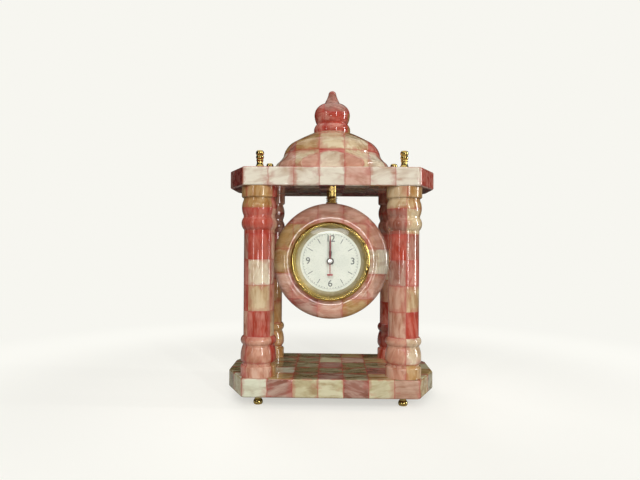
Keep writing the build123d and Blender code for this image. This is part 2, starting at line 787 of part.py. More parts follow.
def set_knob():
    """Fluted setting knob on the minute wheel's arbor."""
    body = pin(KNOB_RADIUS, knob_front, knob_back, MINUTE_WHEEL_AT)
    groove = Circle(KNOB_RADIUS * pi / KNOB_FLUTES / 2.6)
    rim = PolarLocations(KNOB_RADIUS, KNOB_FLUTES)
    flutes = Pos(*MINUTE_WHEEL_AT) * Sketch(children=[place * groove for place in rim])
    body -= slab(flutes, knob_front + KNOB_COLLAR, knob_back)
    return on_dial(body - pin(SET_ARBOR_RADIUS, knob_front, knob_back - KNOB_END_WALL, MINUTE_WHEEL_AT))


# Plates, motor and circuit


def front_plate():
    """Moulded plate behind the dial, with pivot holes, pillars, posts and the battery boss."""
    body = pin(cup_inside - DIAL_PLAY, plate_front, plate_back)
    for at in PILLARS:
        body += pin(PILLAR_RADIUS, plate_back, rear_plate_front, at)
        body -= pin(SCREW_RADIUS, rear_plate_front - SCREW_DEPTH, rear_plate_front, at)
    for at in STATOR_POSTS:
        body += pin(PILLAR_RADIUS, plate_back, stator_front, at)
        body -= pin(SCREW_RADIUS, core_back - SCREW_DEPTH, stator_front, at)
    for at in BOARD_POSTS:
        body += pin(PILLAR_RADIUS, plate_back, board_front, at)
    body += pin(BATTERY_RADIUS * 0.6, plate_back, contact_front, BATTERY_AT)
    blind = plate_back - PIVOT_DEPTH
    for at in (THIRD_WHEEL_AT, FIFTH_WHEEL_AT, ROTOR_AT):
        body -= pin(ARBOR_RADIUS + RUNNING_FIT, blind, plate_back, at)
    body -= pin(SET_ARBOR_RADIUS + RUNNING_FIT, blind, plate_back, MINUTE_WHEEL_AT)
    return on_dial(body - pin(HOUR_PIPE_RADIUS + RUNNING_FIT, plate_front, plate_back))


def rear_plate():
    """Plate across the pillars, cut away for the coil and the battery, with the rear pivot holes."""
    trim = ROTOR_AT[1] + MAGNET_RADIUS + STATOR_AIR_GAP
    face = Circle(REAR_PLATE_RADIUS)
    face -= Pos(0, trim + REAR_PLATE_RADIUS) * Rectangle(4 * REAR_PLATE_RADIUS, 2 * REAR_PLATE_RADIUS)
    face -= Pos(*BATTERY_AT) * Circle(battery_well)
    notch = (BOARD_WIDTH + 2 * LAYER_GAP, BOARD_LENGTH + 2 * LAYER_GAP)
    face -= Pos(*BOARD_AT) * Rectangle(*notch)
    body = slab(face, rear_plate_front, rear_plate_back)
    for at in PILLARS:
        body -= pin(SCREW_RADIUS, rear_plate_front, rear_plate_back, at)
    for at in (THIRD_WHEEL_AT, FIFTH_WHEEL_AT, ROTOR_AT):
        body -= pin(ARBOR_RADIUS + RUNNING_FIT, rear_plate_front, rear_plate_back, at)
    body -= pin(SECOND_SHAFT_RADIUS + RUNNING_FIT, rear_plate_front, rear_plate_back)
    arbor_hole = SET_ARBOR_RADIUS + RUNNING_FIT
    return on_dial(body - pin(arbor_hole, rear_plate_front, rear_plate_back, MINUTE_WHEEL_AT))


def movement_screws():
    """Screws that hold the rear plate and the coil core to the front plate."""
    screws = []
    for at in PILLARS:
        screws.append((at, rear_plate_back, rear_plate_front - SCREW_DEPTH))
    for at in STATOR_POSTS:
        screws.append((at, core_back, core_back - SCREW_DEPTH))
    solids = []
    for at, seat, end in screws:
        head = pin(SCREW_HEAD_RADIUS, seat, seat + SCREW_HEAD_HEIGHT, at)
        solids.append(on_dial(head + pin(SCREW_RADIUS, end, seat, at)))
    return Compound(children=solids)


def stator():
    """Soft-iron stator: a bar round the rotor and an arm up to each end of the coil core."""
    middle = ROTOR_AT[1]
    half_bar = MAGNET_RADIUS + STATOR_AIR_GAP
    face = Pos(0, middle) * Rectangle(2 * STATOR_HALF_SPAN, 2 * half_bar)
    face += Pos(*ROTOR_AT) * Circle(half_bar + STATOR_RIM)
    for at in STATOR_POSTS:
        rise = coil_height + CORE_WIDTH - middle
        face += Pos(at[0], middle + rise / 2) * Rectangle(STATOR_ARM_WIDTH, rise)
        face -= Pos(*at) * Circle(SCREW_RADIUS)
    face -= Pos(*ROTOR_AT) * Circle(half_bar)
    return on_dial(slab(face, stator_front, stator_back))


def coil_core():
    """Iron strip through the coil, screwed on the stator's arms."""
    face = Pos(0, coil_height) * Rectangle(2 * STATOR_HALF_SPAN, CORE_WIDTH)
    for at in STATOR_POSTS:
        face -= Pos(*at) * Circle(SCREW_RADIUS)
    return on_dial(slab(face, stator_back, core_back))


def coil():
    """Copper winding between two cheeks on the core."""
    middle = (stator_back + core_back) / 2
    body = Cylinder(COIL_RADIUS * 0.86, COIL_LENGTH, rotation=(0, 90, 0))
    for side in (-1, 1):
        cheek = Cylinder(COIL_RADIUS, COIL_CHEEK, rotation=(0, 90, 0))
        body += Pos(side * (COIL_LENGTH - COIL_CHEEK) / 2, 0, 0) * cheek
    body -= Box(COIL_LENGTH, CORE_WIDTH, CORE_THICKNESS)
    return on_dial(Pos(0, coil_height, -middle) * body)


def battery():
    """Button cell with a stepped can."""
    step = BATTERY_HEIGHT * 0.2
    body = pin(BATTERY_RADIUS * 0.9, battery_front, battery_front + step, BATTERY_AT)
    return on_dial(body + pin(BATTERY_RADIUS, battery_front + step, battery_back, BATTERY_AT))


def strip(points):
    """Flat metal strip along straight runs, with rounded ends."""
    face = Sketch()
    for start, end in zip(points, points[1:]):
        across, up = end[0] - start[0], end[1] - start[1]
        angle = Vector(1, 0, 0).get_signed_angle(Vector(across, up, 0), Vector(0, 0, 1))
        middle = ((start[0] + end[0]) / 2, (start[1] + end[1]) / 2)
        bar = Rectangle(hypot(across, up), CONTACT_WIDTH)
        face += Pos(*middle) * Rot(0, 0, angle) * bar
    for point in points:
        face += Pos(*point) * Circle(CONTACT_WIDTH / 2)
    return face


def battery_contacts():
    """Two contact strips from the circuit board to the face and the side of the battery."""
    board_corner = (BOARD_AT[0] + BOARD_WIDTH * 0.3, BOARD_AT[1] - BOARD_LENGTH * 0.35)
    below = BATTERY_AT[1] - BATTERY_RADIUS
    turn_low = (BATTERY_AT[0] - BATTERY_RADIUS, below - CONTACT_WIDTH)
    side = (BATTERY_AT[0], below - CONTACT_WIDTH / 2)
    face_strip = strip([board_corner, (turn_low[0], below), BATTERY_AT])
    side_strip = strip([board_corner, (turn_low[0], below - 2 * CONTACT_WIDTH), side])
    return Compound(
        children=[
            on_dial(slab(face_strip, contact_front, board_front)),
            on_dial(slab(side_strip, board_back, board_back + CONTACT_THICKNESS)),
        ]
    )


def circuit_board():
    """Small board with a potted chip."""
    plan = Pos(*BOARD_AT) * fillet(Rectangle(BOARD_WIDTH, BOARD_LENGTH).vertices(), BOARD_CORNER)
    chip = (BOARD_AT[0] - BOARD_WIDTH * 0.2, BOARD_AT[1])
    body = slab(plan, board_front, board_back)
    return on_dial(body + pin(BOARD_WIDTH * 0.18, board_back, board_back + CHIP_HEIGHT, chip))


def quartz_crystal():
    """Crystal can that lies on the board."""
    can = Cylinder(CRYSTAL_RADIUS, CRYSTAL_LENGTH, rotation=(90, 0, 0))
    at = (BOARD_AT[0] + BOARD_WIDTH * 0.3, BOARD_AT[1] + BOARD_LENGTH * 0.2)
    return on_dial(Pos(at[0], at[1], -board_back - CRYSTAL_RADIUS) * can)


# Hands


def hand_blade(length, width, boss, bore, back):
    """Leaf hand on a boss, pointing to twelve."""
    half = width / 2
    neck = boss * 0.25
    leaf = outline(
        [
            (-neck, 0),
            (neck, 0),
            (half, length * 0.72, -0.1),
            (0, length, 0.1),
            (-half, length * 0.72, 0.1),
        ]
    )
    face = leaf + Circle(boss) - Circle(bore)
    return on_dial(slab(face, back - HAND_THICKNESS, back))


def hour_hand():
    """Hour hand, pressed on the hour pipe."""
    return hand_blade(
        HOUR_HAND_LENGTH, HOUR_HAND_WIDTH, HAND_BOSS_RADIUS, HOUR_PIPE_RADIUS, hour_hand_back
    )


def minute_hand():
    """Minute hand, pressed on the minute pipe."""
    boss = HAND_BOSS_RADIUS * 0.85
    return hand_blade(
        MINUTE_HAND_LENGTH, MINUTE_HAND_WIDTH, boss, MINUTE_PIPE_RADIUS, minute_hand_back
    )


def second_hand():
    """Second hand with a tail that ends in a short bar, pressed on the second shaft."""
    back = second_hand_back
    reach = SECOND_HAND_LENGTH + SECOND_HAND_TAIL
    middle = (SECOND_HAND_LENGTH - SECOND_HAND_TAIL) / 2
    face = Pos(0, middle) * Rectangle(SECOND_HAND_WIDTH, reach)
    face += Pos(0, -SECOND_HAND_TAIL) * Rectangle(SECOND_BAR_WIDTH, 2 * SECOND_HAND_WIDTH)
    face += Circle(HAND_BOSS_RADIUS * 0.6)
    face -= Circle(SECOND_SHAFT_RADIUS)
    return on_dial(slab(face, back - HAND_THICKNESS, back))


NODES = {
    "base_slab": mosaic_slab(base_bottom, BASE_THICKNESS, centre_hole=False),
    "roof_slab": mosaic_slab(roof_bottom, ROOF_THICKNESS, centre_hole=True),
    "dome": dome(),
    "spire": spire(),
    "centre_rod": centre_rod(),
    "hanger_post": hanger_post(),
    "lock_washer": lock_washer(),
    "lock_nut": lock_nut(),
    "drum_socket": drum_socket(),
    "drum": drum(),
    "bezel": bezel(),
    "lens": lens(),
    "reflector_ring": reflector_ring(),
    "dial": dial(),
    "cup": cup(),
    "grip_ring": grip_ring(),
    "back_cover": back_cover(),
    "battery_cover": battery_cover(),
    "front_plate": front_plate(),
    "rear_plate": rear_plate(),
    "movement_screws": movement_screws(),
    "stator": stator(),
    "coil_core": coil_core(),
    "coil": coil(),
    "battery": battery(),
    "battery_contacts": battery_contacts(),
    "circuit_board": circuit_board(),
    "quartz_crystal": quartz_crystal(),
    "rotor_pinion": rotor_pinion(),
    "rotor_magnet": rotor_magnet(),
    "fifth_wheel": train_wheel(fifth_gear, FIFTH_LAYER, fifth_leaves, SECOND_LAYER, FIFTH_WHEEL_AT),
    "second_wheel": second_wheel(),
    "third_wheel": train_wheel(third_gear, THIRD_LAYER, third_leaves, CENTRE_LAYER, THIRD_WHEEL_AT),
    "centre_wheel": centre_wheel(),
    "cannon_pinion": cannon_pinion(),
    "minute_wheel": minute_wheel(),
    "hour_wheel": hour_wheel(),
    "set_knob": set_knob(),
    "hour_hand": hour_hand(),
    "minute_hand": minute_hand(),
    "second_hand": second_hand(),
}
for corner, at in CORNERS.items():
    NODES["column_" + corner] = column(at)
    NODES["tie_rod_" + corner] = tie_rod(at)
    NODES["finial_nut_" + corner] = finial_nut(at)
    NODES["foot_nut_" + corner] = foot_nut(at)

os.makedirs("parts", exist_ok=True)
for name, shape in NODES.items():
    export_step(shape, "parts/" + name + ".step")
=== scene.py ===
"""Looks of the portico table clock: shell mosaic, turned brass, a glazed dial and a studio."""

import json
import logging
import math
from dataclasses import dataclass, field
from enum import Enum
from typing import Any, Iterable

import bmesh
import bpy
from mathutils import Matrix, Vector


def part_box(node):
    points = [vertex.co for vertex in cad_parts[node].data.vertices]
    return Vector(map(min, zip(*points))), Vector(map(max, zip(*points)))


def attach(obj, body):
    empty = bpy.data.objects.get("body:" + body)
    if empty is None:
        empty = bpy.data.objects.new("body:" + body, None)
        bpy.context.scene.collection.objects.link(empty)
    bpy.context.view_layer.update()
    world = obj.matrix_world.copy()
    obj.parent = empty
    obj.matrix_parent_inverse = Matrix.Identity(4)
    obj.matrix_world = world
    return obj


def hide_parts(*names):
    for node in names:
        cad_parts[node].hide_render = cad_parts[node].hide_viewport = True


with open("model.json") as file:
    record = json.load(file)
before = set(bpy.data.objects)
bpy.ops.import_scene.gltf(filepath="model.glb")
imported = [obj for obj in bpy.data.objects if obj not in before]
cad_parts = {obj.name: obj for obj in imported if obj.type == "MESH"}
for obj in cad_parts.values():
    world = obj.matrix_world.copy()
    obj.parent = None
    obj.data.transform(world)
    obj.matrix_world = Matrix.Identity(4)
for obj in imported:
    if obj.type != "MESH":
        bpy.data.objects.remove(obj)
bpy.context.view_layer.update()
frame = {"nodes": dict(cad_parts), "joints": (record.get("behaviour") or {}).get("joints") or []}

LOG = logging.getLogger("portico_clock")
MM = 0.001
IMAGE_WIDTH = 640
SENSOR_WIDTH = 36.0
SHARP_ANGLE = math.radians(40.0)
HALF = (0.5, 0.5, 0.5)
NOTHING = (0.0, 0.0, 0.0)
UP = (0.0, 0.0, 1.0)
FIGURE_CAP = 0.7
TURN_STEPS = 64
RING_STEPS = 180
FACE_STEP = (31.0, 47.0, 19.0)
CORNERS = ("front_left", "front_right", "rear_left", "rear_right")

Pair = tuple[float, float]
Triple = tuple[float, float, float]
Source = Any
Socket = bpy.types.NodeSocket
Tree = bpy.types.NodeTree
Inputs = dict[str | int, Source]


class Tint(Enum):
    """Tints of the shell tiles, as linear colours."""

    IVORY = (0.78, 0.71, 0.55)
    CREAM = (0.70, 0.58, 0.36)
    BLUSH = (0.66, 0.36, 0.265)
    MAUVE = (0.42, 0.17, 0.13)
    CORAL = (0.54, 0.085, 0.055)
    GARNET = (0.25, 0.024, 0.018)
    TAN = (0.54, 0.34, 0.13)
    OLIVE = (0.28, 0.20, 0.08)


Mix = tuple[tuple[Tint, float], ...]


@dataclass(frozen=True)
class Batch:
    """A batch of shell tiles: tints and their shares, its draw, and what it keeps of each tint."""

    mix: Mix
    draw: float
    tone: Triple = (1.0, 1.0, 1.0)


class Slot(Enum):
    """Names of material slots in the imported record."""

    BLACK_PLASTIC = "black_plastic"
    BRASS = "brass"
    STEEL = "steel"


class Reach(Enum):
    """Which rays a lamp answers to."""

    SOFT = ("diffuse",)
    GLINT = ("glossy", "transmission")
    BOTH = ("diffuse", "glossy", "transmission")


class Lathe(Enum):
    """Which way a turned piece's axis points."""

    UPRIGHT = "upright"
    DIAL = "dial"


@dataclass
class Graph:
    """Adds and joins the nodes of one shader tree."""

    tree: Tree

    def fill(self, sockets: Any, values: Inputs) -> None:
        """Joins a node's inputs to other sockets, or sets their plain values.

        Args:
            sockets: The inputs.
            values: Output socket, number, vector or colour for each, by its name or number.
        """
        for key, value in values.items():
            socket = sockets[key]
            if isinstance(value, Socket):
                self.tree.links.new(value, socket)
            else:
                socket.default_value = (*value, 1.0) if socket.type == "RGBA" else value

    def add(self, kind: str, inputs: Inputs | None = None, **settings: Any) -> bpy.types.Node:
        """Makes one node.

        Args:
            kind: Blender's type name of the node.
            inputs: What feeds each input, by its name or number.
            **settings: Properties of the node.

        Returns:
            The new node.
        """
        node = self.tree.nodes.new(kind)
        for name, value in settings.items():
            setattr(node, name, value)
        self.fill(node.inputs, inputs or {})
        return node

    def math(self, operation: str, *values: Source, clamp: bool = False) -> Socket:
        """Works out one number, by the name of the Math node's operation."""
        node = self.add("ShaderNodeMath", dict(enumerate(values)), operation=operation, use_clamp=clamp)
        return node.outputs[0]

    def vector(self, operation: str, *values: Source) -> Socket:
        """Works out one vector, or its length, by the name of the Vector Math node's operation."""
        node = self.add("ShaderNodeVectorMath", dict(enumerate(values)), operation=operation)
        return node.outputs["Value" if operation == "LENGTH" else "Vector"]

    def ramp(
        self, value: Source, start: Source, end: Source, low: float = 0.0, high: float = 1.0
    ) -> Socket:
        """Eases a value from low at the start to high at the end."""
        limits = {"Value": value, "From Min": start, "From Max": end, "To Min": low, "To Max": high}
        return self.add("ShaderNodeMapRange", limits, interpolation_type="SMOOTHSTEP").outputs["Result"]

    def mix(self, factor: Source, first: Source, second: Source, blend: str = "MIX") -> Socket:
        """Mixes a share of the second colour into the first."""
        inputs = {0: factor, 6: first, 7: second}
        return self.add("ShaderNodeMix", inputs, data_type="RGBA", blend_type=blend).outputs[2]

    def scaled(self, vector: Source, factor: Source) -> Socket:
        """Multiplies a vector by one number."""
        inputs = {"Vector": vector, "Scale": factor}
        return self.add("ShaderNodeVectorMath", inputs, operation="SCALE").outputs["Vector"]

    def axes(self, vector: Source) -> Any:
        """Splits a vector into its X, Y and Z sockets."""
        return self.add("ShaderNodeSeparateXYZ", {0: vector}).outputs

    def noise(
        self, vector: Source, scale: float, detail: float, distortion: float = 0.0, give: str = "Fac"
    ) -> Socket:
        """Reads a noise texture at a vector, and gives its value or its colour."""
        inputs = {"Vector": vector, "Scale": scale, "Detail": detail, "Distortion": distortion}
        return self.add("ShaderNodeTexNoise", inputs).outputs[give]

    def from_grid(self, vector: Source, **inputs: Source) -> Socket:
        """Takes a vector into a frame that is placed, turned and scaled in the object's own."""
        inputs = {"Vector": vector, **inputs}
        return self.add("ShaderNodeMapping", inputs, vector_type="TEXTURE").outputs[0]


class Effects:
    """Shader node groups that several finishes share, each built once."""

    wobble: float = 1.1
    least_slope: float = 0.0004
    seam_limits: Pair = (0.4, 1.3)
    tile_tilt: Triple = (0.5, 0.7, 0.7)
    tile_spread: Triple = (90.0, 70.0, 50.0)
    band_shares: Pair = (0.78, 0.22)

    @staticmethod
    def start(name: str, inputs: dict[str, str], outputs: dict[str, str]) -> tuple[Graph, Any, Any]:
        """Opens a new group.

        Args:
            name: Name of the group.
            inputs: Kind of each input, Float or Vector.
            outputs: Kind of each output.

        Returns:
            The group's graph, what its inputs give and where its outputs go.
        """
        tree = bpy.data.node_groups.new(name, "ShaderNodeTree")
        for side, sockets in (("INPUT", inputs), ("OUTPUT", outputs)):
            for socket, kind in sockets.items():
                tree.interface.new_socket(socket, in_out=side, socket_type="NodeSocket" + kind)
        graph = Graph(tree)
        return graph, graph.add("NodeGroupInput").outputs, graph.add("NodeGroupOutput").inputs

    @classmethod
    def place(cls, graph: Graph, name: str, inputs: Inputs) -> Any:
        """Puts a shared group into a material, built by the method of that name if it is new."""
        tree = bpy.data.node_groups.get(name) or getattr(cls, name)()
        return graph.add("ShaderNodeGroup", inputs, node_tree=tree).outputs

    @classmethod
    def tile_cells(cls) -> Tree:
        """Builds the tile pattern: which tile a point is in, and how near its glue lines are.

        Returns:
            A group with the tile's number, the glue line and the dye that has bled from it.
        """
        inputs = {"Point": "Vector", "Normal": "Vector", "Pitch": "Vector", "Facet": "Float"}
        inputs |= {"Seam": "Float", "Bleed": "Float"}
        graph, given, out = cls.start(
            "tile_cells", inputs, {"Cell": "Vector", "Seam": "Float", "Bleed": "Float"}
        )
        place = graph.vector("MULTIPLY", given["Point"], given["Pitch"])
        wobble = graph.noise(place, scale=0.12, detail=1.0, give="Color")
        wobble = graph.vector("SUBTRACT", wobble, HALF)
        shift = graph.vector("DIVIDE", wobble, given["Pitch"])
        point = graph.vector("ADD", given["Point"], graph.scaled(shift, cls.wobble))
        inside = graph.vector("FRACTION", point)
        off_centre = graph.vector("ABSOLUTE", graph.vector("SUBTRACT", inside, HALF))
        reach = graph.vector("SUBTRACT", HALF, off_centre)
        reach = graph.vector("MULTIPLY", reach, given["Pitch"])
        steep = graph.vector("MULTIPLY", given["Normal"], given["Normal"])
        nearest = None
        for distance, square in zip(graph.axes(reach), graph.axes(steep)):
            level = graph.math("MAXIMUM", graph.math("SUBTRACT", 1.0, square), cls.least_slope)
            along = graph.math("DIVIDE", distance, graph.math("SQRT", level))
            nearest = along if nearest is None else graph.math("MINIMUM", nearest, along)
        patchy = graph.noise(place, scale=0.13, detail=3.0)
        width = graph.ramp(patchy, 0.3, 0.7, low=0.45, high=1.5)
        width = graph.math("MULTIPLY", given["Seam"], width)
        core, edge = (graph.math("MULTIPLY", width, share) for share in cls.seam_limits)
        seam = graph.ramp(nearest, core, edge, low=1.0, high=0.0)
        spread = graph.ramp(patchy, 0.38, 0.68, low=0.15, high=1.5)
        spread = graph.math("MULTIPLY", given["Bleed"], spread)
        bleed = graph.ramp(nearest, 0.0, spread, low=1.0, high=0.0)
        rest = graph.math("SUBTRACT", 1.0, given["Facet"])
        sides = []
        for way in ("ADD", "SUBTRACT"):
            side = graph.vector("FLOOR", graph.vector(way, rest, given["Normal"]))
            sides.append(graph.vector("MAXIMUM", side, NOTHING))
        face = graph.vector("MULTIPLY", graph.vector("SUBTRACT", *sides), FACE_STEP)
        cell = graph.vector("ADD", graph.vector("FLOOR", point), face)
        graph.fill(out, {"Cell": cell, "Seam": seam, "Bleed": bleed})
        return graph.tree

    @classmethod
    def nacre(cls) -> Tree:
        """Builds the shell's figure: silky bands that run another way in each tile, and soft clouds.

        Returns:
            A group with the bands, the clouds and one random number a tile.
        """
        graph, given, out = cls.start(
            "nacre",
            {"Point": "Vector", "Cell": "Vector", "Stretch": "Vector"},
            {"Band": "Float", "Cloud": "Float", "Chance": "Float"},
        )
        drawn = {"Vector": given["Cell"]}
        chance = graph.add("ShaderNodeTexWhiteNoise", drawn, noise_dimensions="3D").outputs
        angles = graph.vector("SUBTRACT", chance["Color"], HALF)
        angles = graph.vector("MULTIPLY", angles, cls.tile_tilt)
        turned = {"Vector": given["Point"], "Rotation": angles}
        rotated = graph.add("ShaderNodeVectorRotate", turned, rotation_type="EULER_XYZ").outputs[0]
        offset = graph.vector("MULTIPLY", chance["Color"], cls.tile_spread)
        apart = graph.vector("ADD", rotated, offset)
        run = graph.vector("MULTIPLY", apart, given["Stretch"])
        broad = graph.noise(run, scale=0.2, detail=2.0, distortion=0.5)
        fine = graph.noise(run, scale=1.1, detail=2.0)
        parts = (graph.math("MULTIPLY", *pair) for pair in zip((broad, fine), cls.band_shares))
        band = graph.math("ADD", *parts)
        cloud = graph.noise(apart, scale=0.075, detail=2.5, distortion=0.4)
        band, cloud = graph.ramp(band, 0.36, 0.64), graph.ramp(cloud, 0.36, 0.68)
        graph.fill(out, {"Band": band, "Cloud": cloud, "Chance": chance["Value"]})
        return graph.tree

    @classmethod
    def handling(cls) -> Tree:
        """Builds the faint smears of a surface that is handled and wiped.

        Returns:
            A group with a smear value.
        """
        graph, given, out = cls.start("handling", {"Point": "Vector"}, {"Smear": "Float"})
        smear = graph.noise(given["Point"], scale=0.09, detail=5.0, distortion=1.2)
        graph.fill(out, {"Smear": graph.ramp(smear, 0.35, 0.7)})
        return graph.tree

    @classmethod
    def tool_lines(cls) -> Tree:
        """Builds the rings that a lathe tool leaves, from a distance along and out from the axis.

        Returns:
            A group with the rings' tone and their height.
        """
        graph, given, out = cls.start(
            "tool_lines", {"Travel": "Float"}, {"Tone": "Float", "Height": "Float"}
        )
        rings = []
        for scale, detail in ((1.1, 3.0), (6.0, 1.0)):
            inputs = {"W": given["Travel"], "Scale": scale, "Detail": detail}
            rings.append(graph.add("ShaderNodeTexNoise", inputs, noise_dimensions="1D").outputs["Fac"])
        graph.fill(out, {"Tone": graph.ramp(rings[0], 0.3, 0.7), "Height": rings[1]})
        return graph.tree

    @classmethod
    def grain(cls) -> Tree:
        """Builds the even fine grain of moulded or stamped pieces, with a slow drift of tone.

        Returns:
            A group with the grain and the drift.
        """
        graph, given, out = cls.start(
            "grain", {"Point": "Vector", "Size": "Float"}, {"Grain": "Float", "Drift": "Float"}
        )
        point = graph.scaled(given["Point"], given["Size"])
        fine, slow = (graph.noise(point, scale, detail=3.0) for scale in (1.0, 0.07))
        graph.fill(out, {"Grain": fine, "Drift": slow})
        return graph.tree


@dataclass(frozen=True)
class DialFrame:
    """The dial's own frame: its centre, its right, up and outward directions."""

    centre: Vector
    right: Vector
    up: Vector
    out: Vector

    @classmethod
    def from_joint(cls, name: str) -> "DialFrame":
        """Reads the frame from the joint that turns a hand.

        Args:
            name: Name of the joint, whose axis points into the dial.

        Returns:
            The dial's frame.
        """
        joint = next(j for j in frame["joints"] if j["name"] == name)
        out = -Vector(joint["axis"]).normalized()
        up = Vector(UP)
        return cls(Vector(joint["pos_m"]), up.cross(out), up, out)

    def matrix(self) -> Matrix:
        """Gives the matrix from the dial's frame to the row frame."""
        turn = Matrix((self.right, self.up, self.out)).transposed().to_4x4()
        return Matrix.Translation(self.centre) @ turn

    def mapped(self, graph: Graph, here: Any) -> Socket:
        """Gives a material's points in the dial's frame, in millimetres."""
        inputs = {"Location": tuple(self.centre), "Rotation": tuple(self.matrix().to_euler())}
        return graph.from_grid(here["Object"], **inputs, Scale=(MM, MM, MM))

    def yaw(self) -> float:
        """Gives how far the dial is turned about the upright axis."""
        return math.atan2(self.right.y, self.right.x)


DIAL = DialFrame.from_joint("second_turn")


def box_mm(node: str) -> tuple[Vector, Vector]:
    """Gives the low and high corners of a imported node's box in millimetres."""
    low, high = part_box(node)
    return low / MM, high / MM


def new_material(name: str) -> tuple[Graph, bpy.types.Node, bpy.types.Material]:
    """Makes a material.

    Args:
        name: Its name.

    Returns:
        Its graph, its Principled node and the material.
    """
    material = bpy.data.materials.new(name)
    material.use_nodes = True
    return Graph(material.node_tree), material.node_tree.nodes["Principled BSDF"], material


def new_object(
    name: str, mesh: bmesh.types.BMesh, material: bpy.types.Material, place: Matrix
) -> bpy.types.Object:
    """Makes an object in the scene from a bmesh, which it uses up.

    Args:
        name: Its name.
        mesh: The bmesh.
        material: What it is made of.
        place: From the bmesh's own frame to the row frame.

    Returns:
        The object.
    """
    data = bpy.data.meshes.new(name)
    mesh.to_mesh(data)
    mesh.free()
    data.transform(place)
    data.materials.append(material)
    made = bpy.data.objects.new(name, data)
    bpy.context.scene.collection.objects.link(made)
    return made


@dataclass(frozen=True)
class Finish:
    """Base of the finishes: a named material that is built once."""

    name: str

    def start(self) -> tuple[Graph, bpy.types.Node, Any]:
        """Makes an empty material, and gives its graph, its shader and the texture coordinates."""
        graph, shader, _ = new_material(self.name)
        return graph, shader, graph.add("ShaderNodeTexCoord").outputs

    def shade(self) -> None:
        """Builds the material's nodes."""
        raise NotImplementedError

    def material(self) -> bpy.types.Material:
        """Builds the material when it is first asked for.

        Returns:
            The material.
        """
        if self.name not in bpy.data.materials:
            self.shade()
        return bpy.data.materials[self.name]

    @staticmethod
    def millimetres(graph: Graph, coordinates: Any) -> Socket:
        """Gives the object coordinates in millimetres."""
        return graph.scaled(coordinates["Object"], 1 / MM)

    @staticmethod
    def bump(graph: Graph, sockets: Any, height: Source, strength: float, depth: float) -> None:
        """Puts relief from 0 to 1 on a shader's sockets, with its depth in metres."""
        inputs = {"Height": height, "Strength": strength, "Distance": depth}
        graph.fill(sockets, {"Normal": graph.add("ShaderNodeBump", inputs).outputs["Normal"]})


@dataclass(frozen=True)
class TileGrid:
    """How the square tiles lie in a piece: a point where their corners meet, their pitch and turn."""

    corner: Triple
    pitch: Triple
    turn: float = 0.0


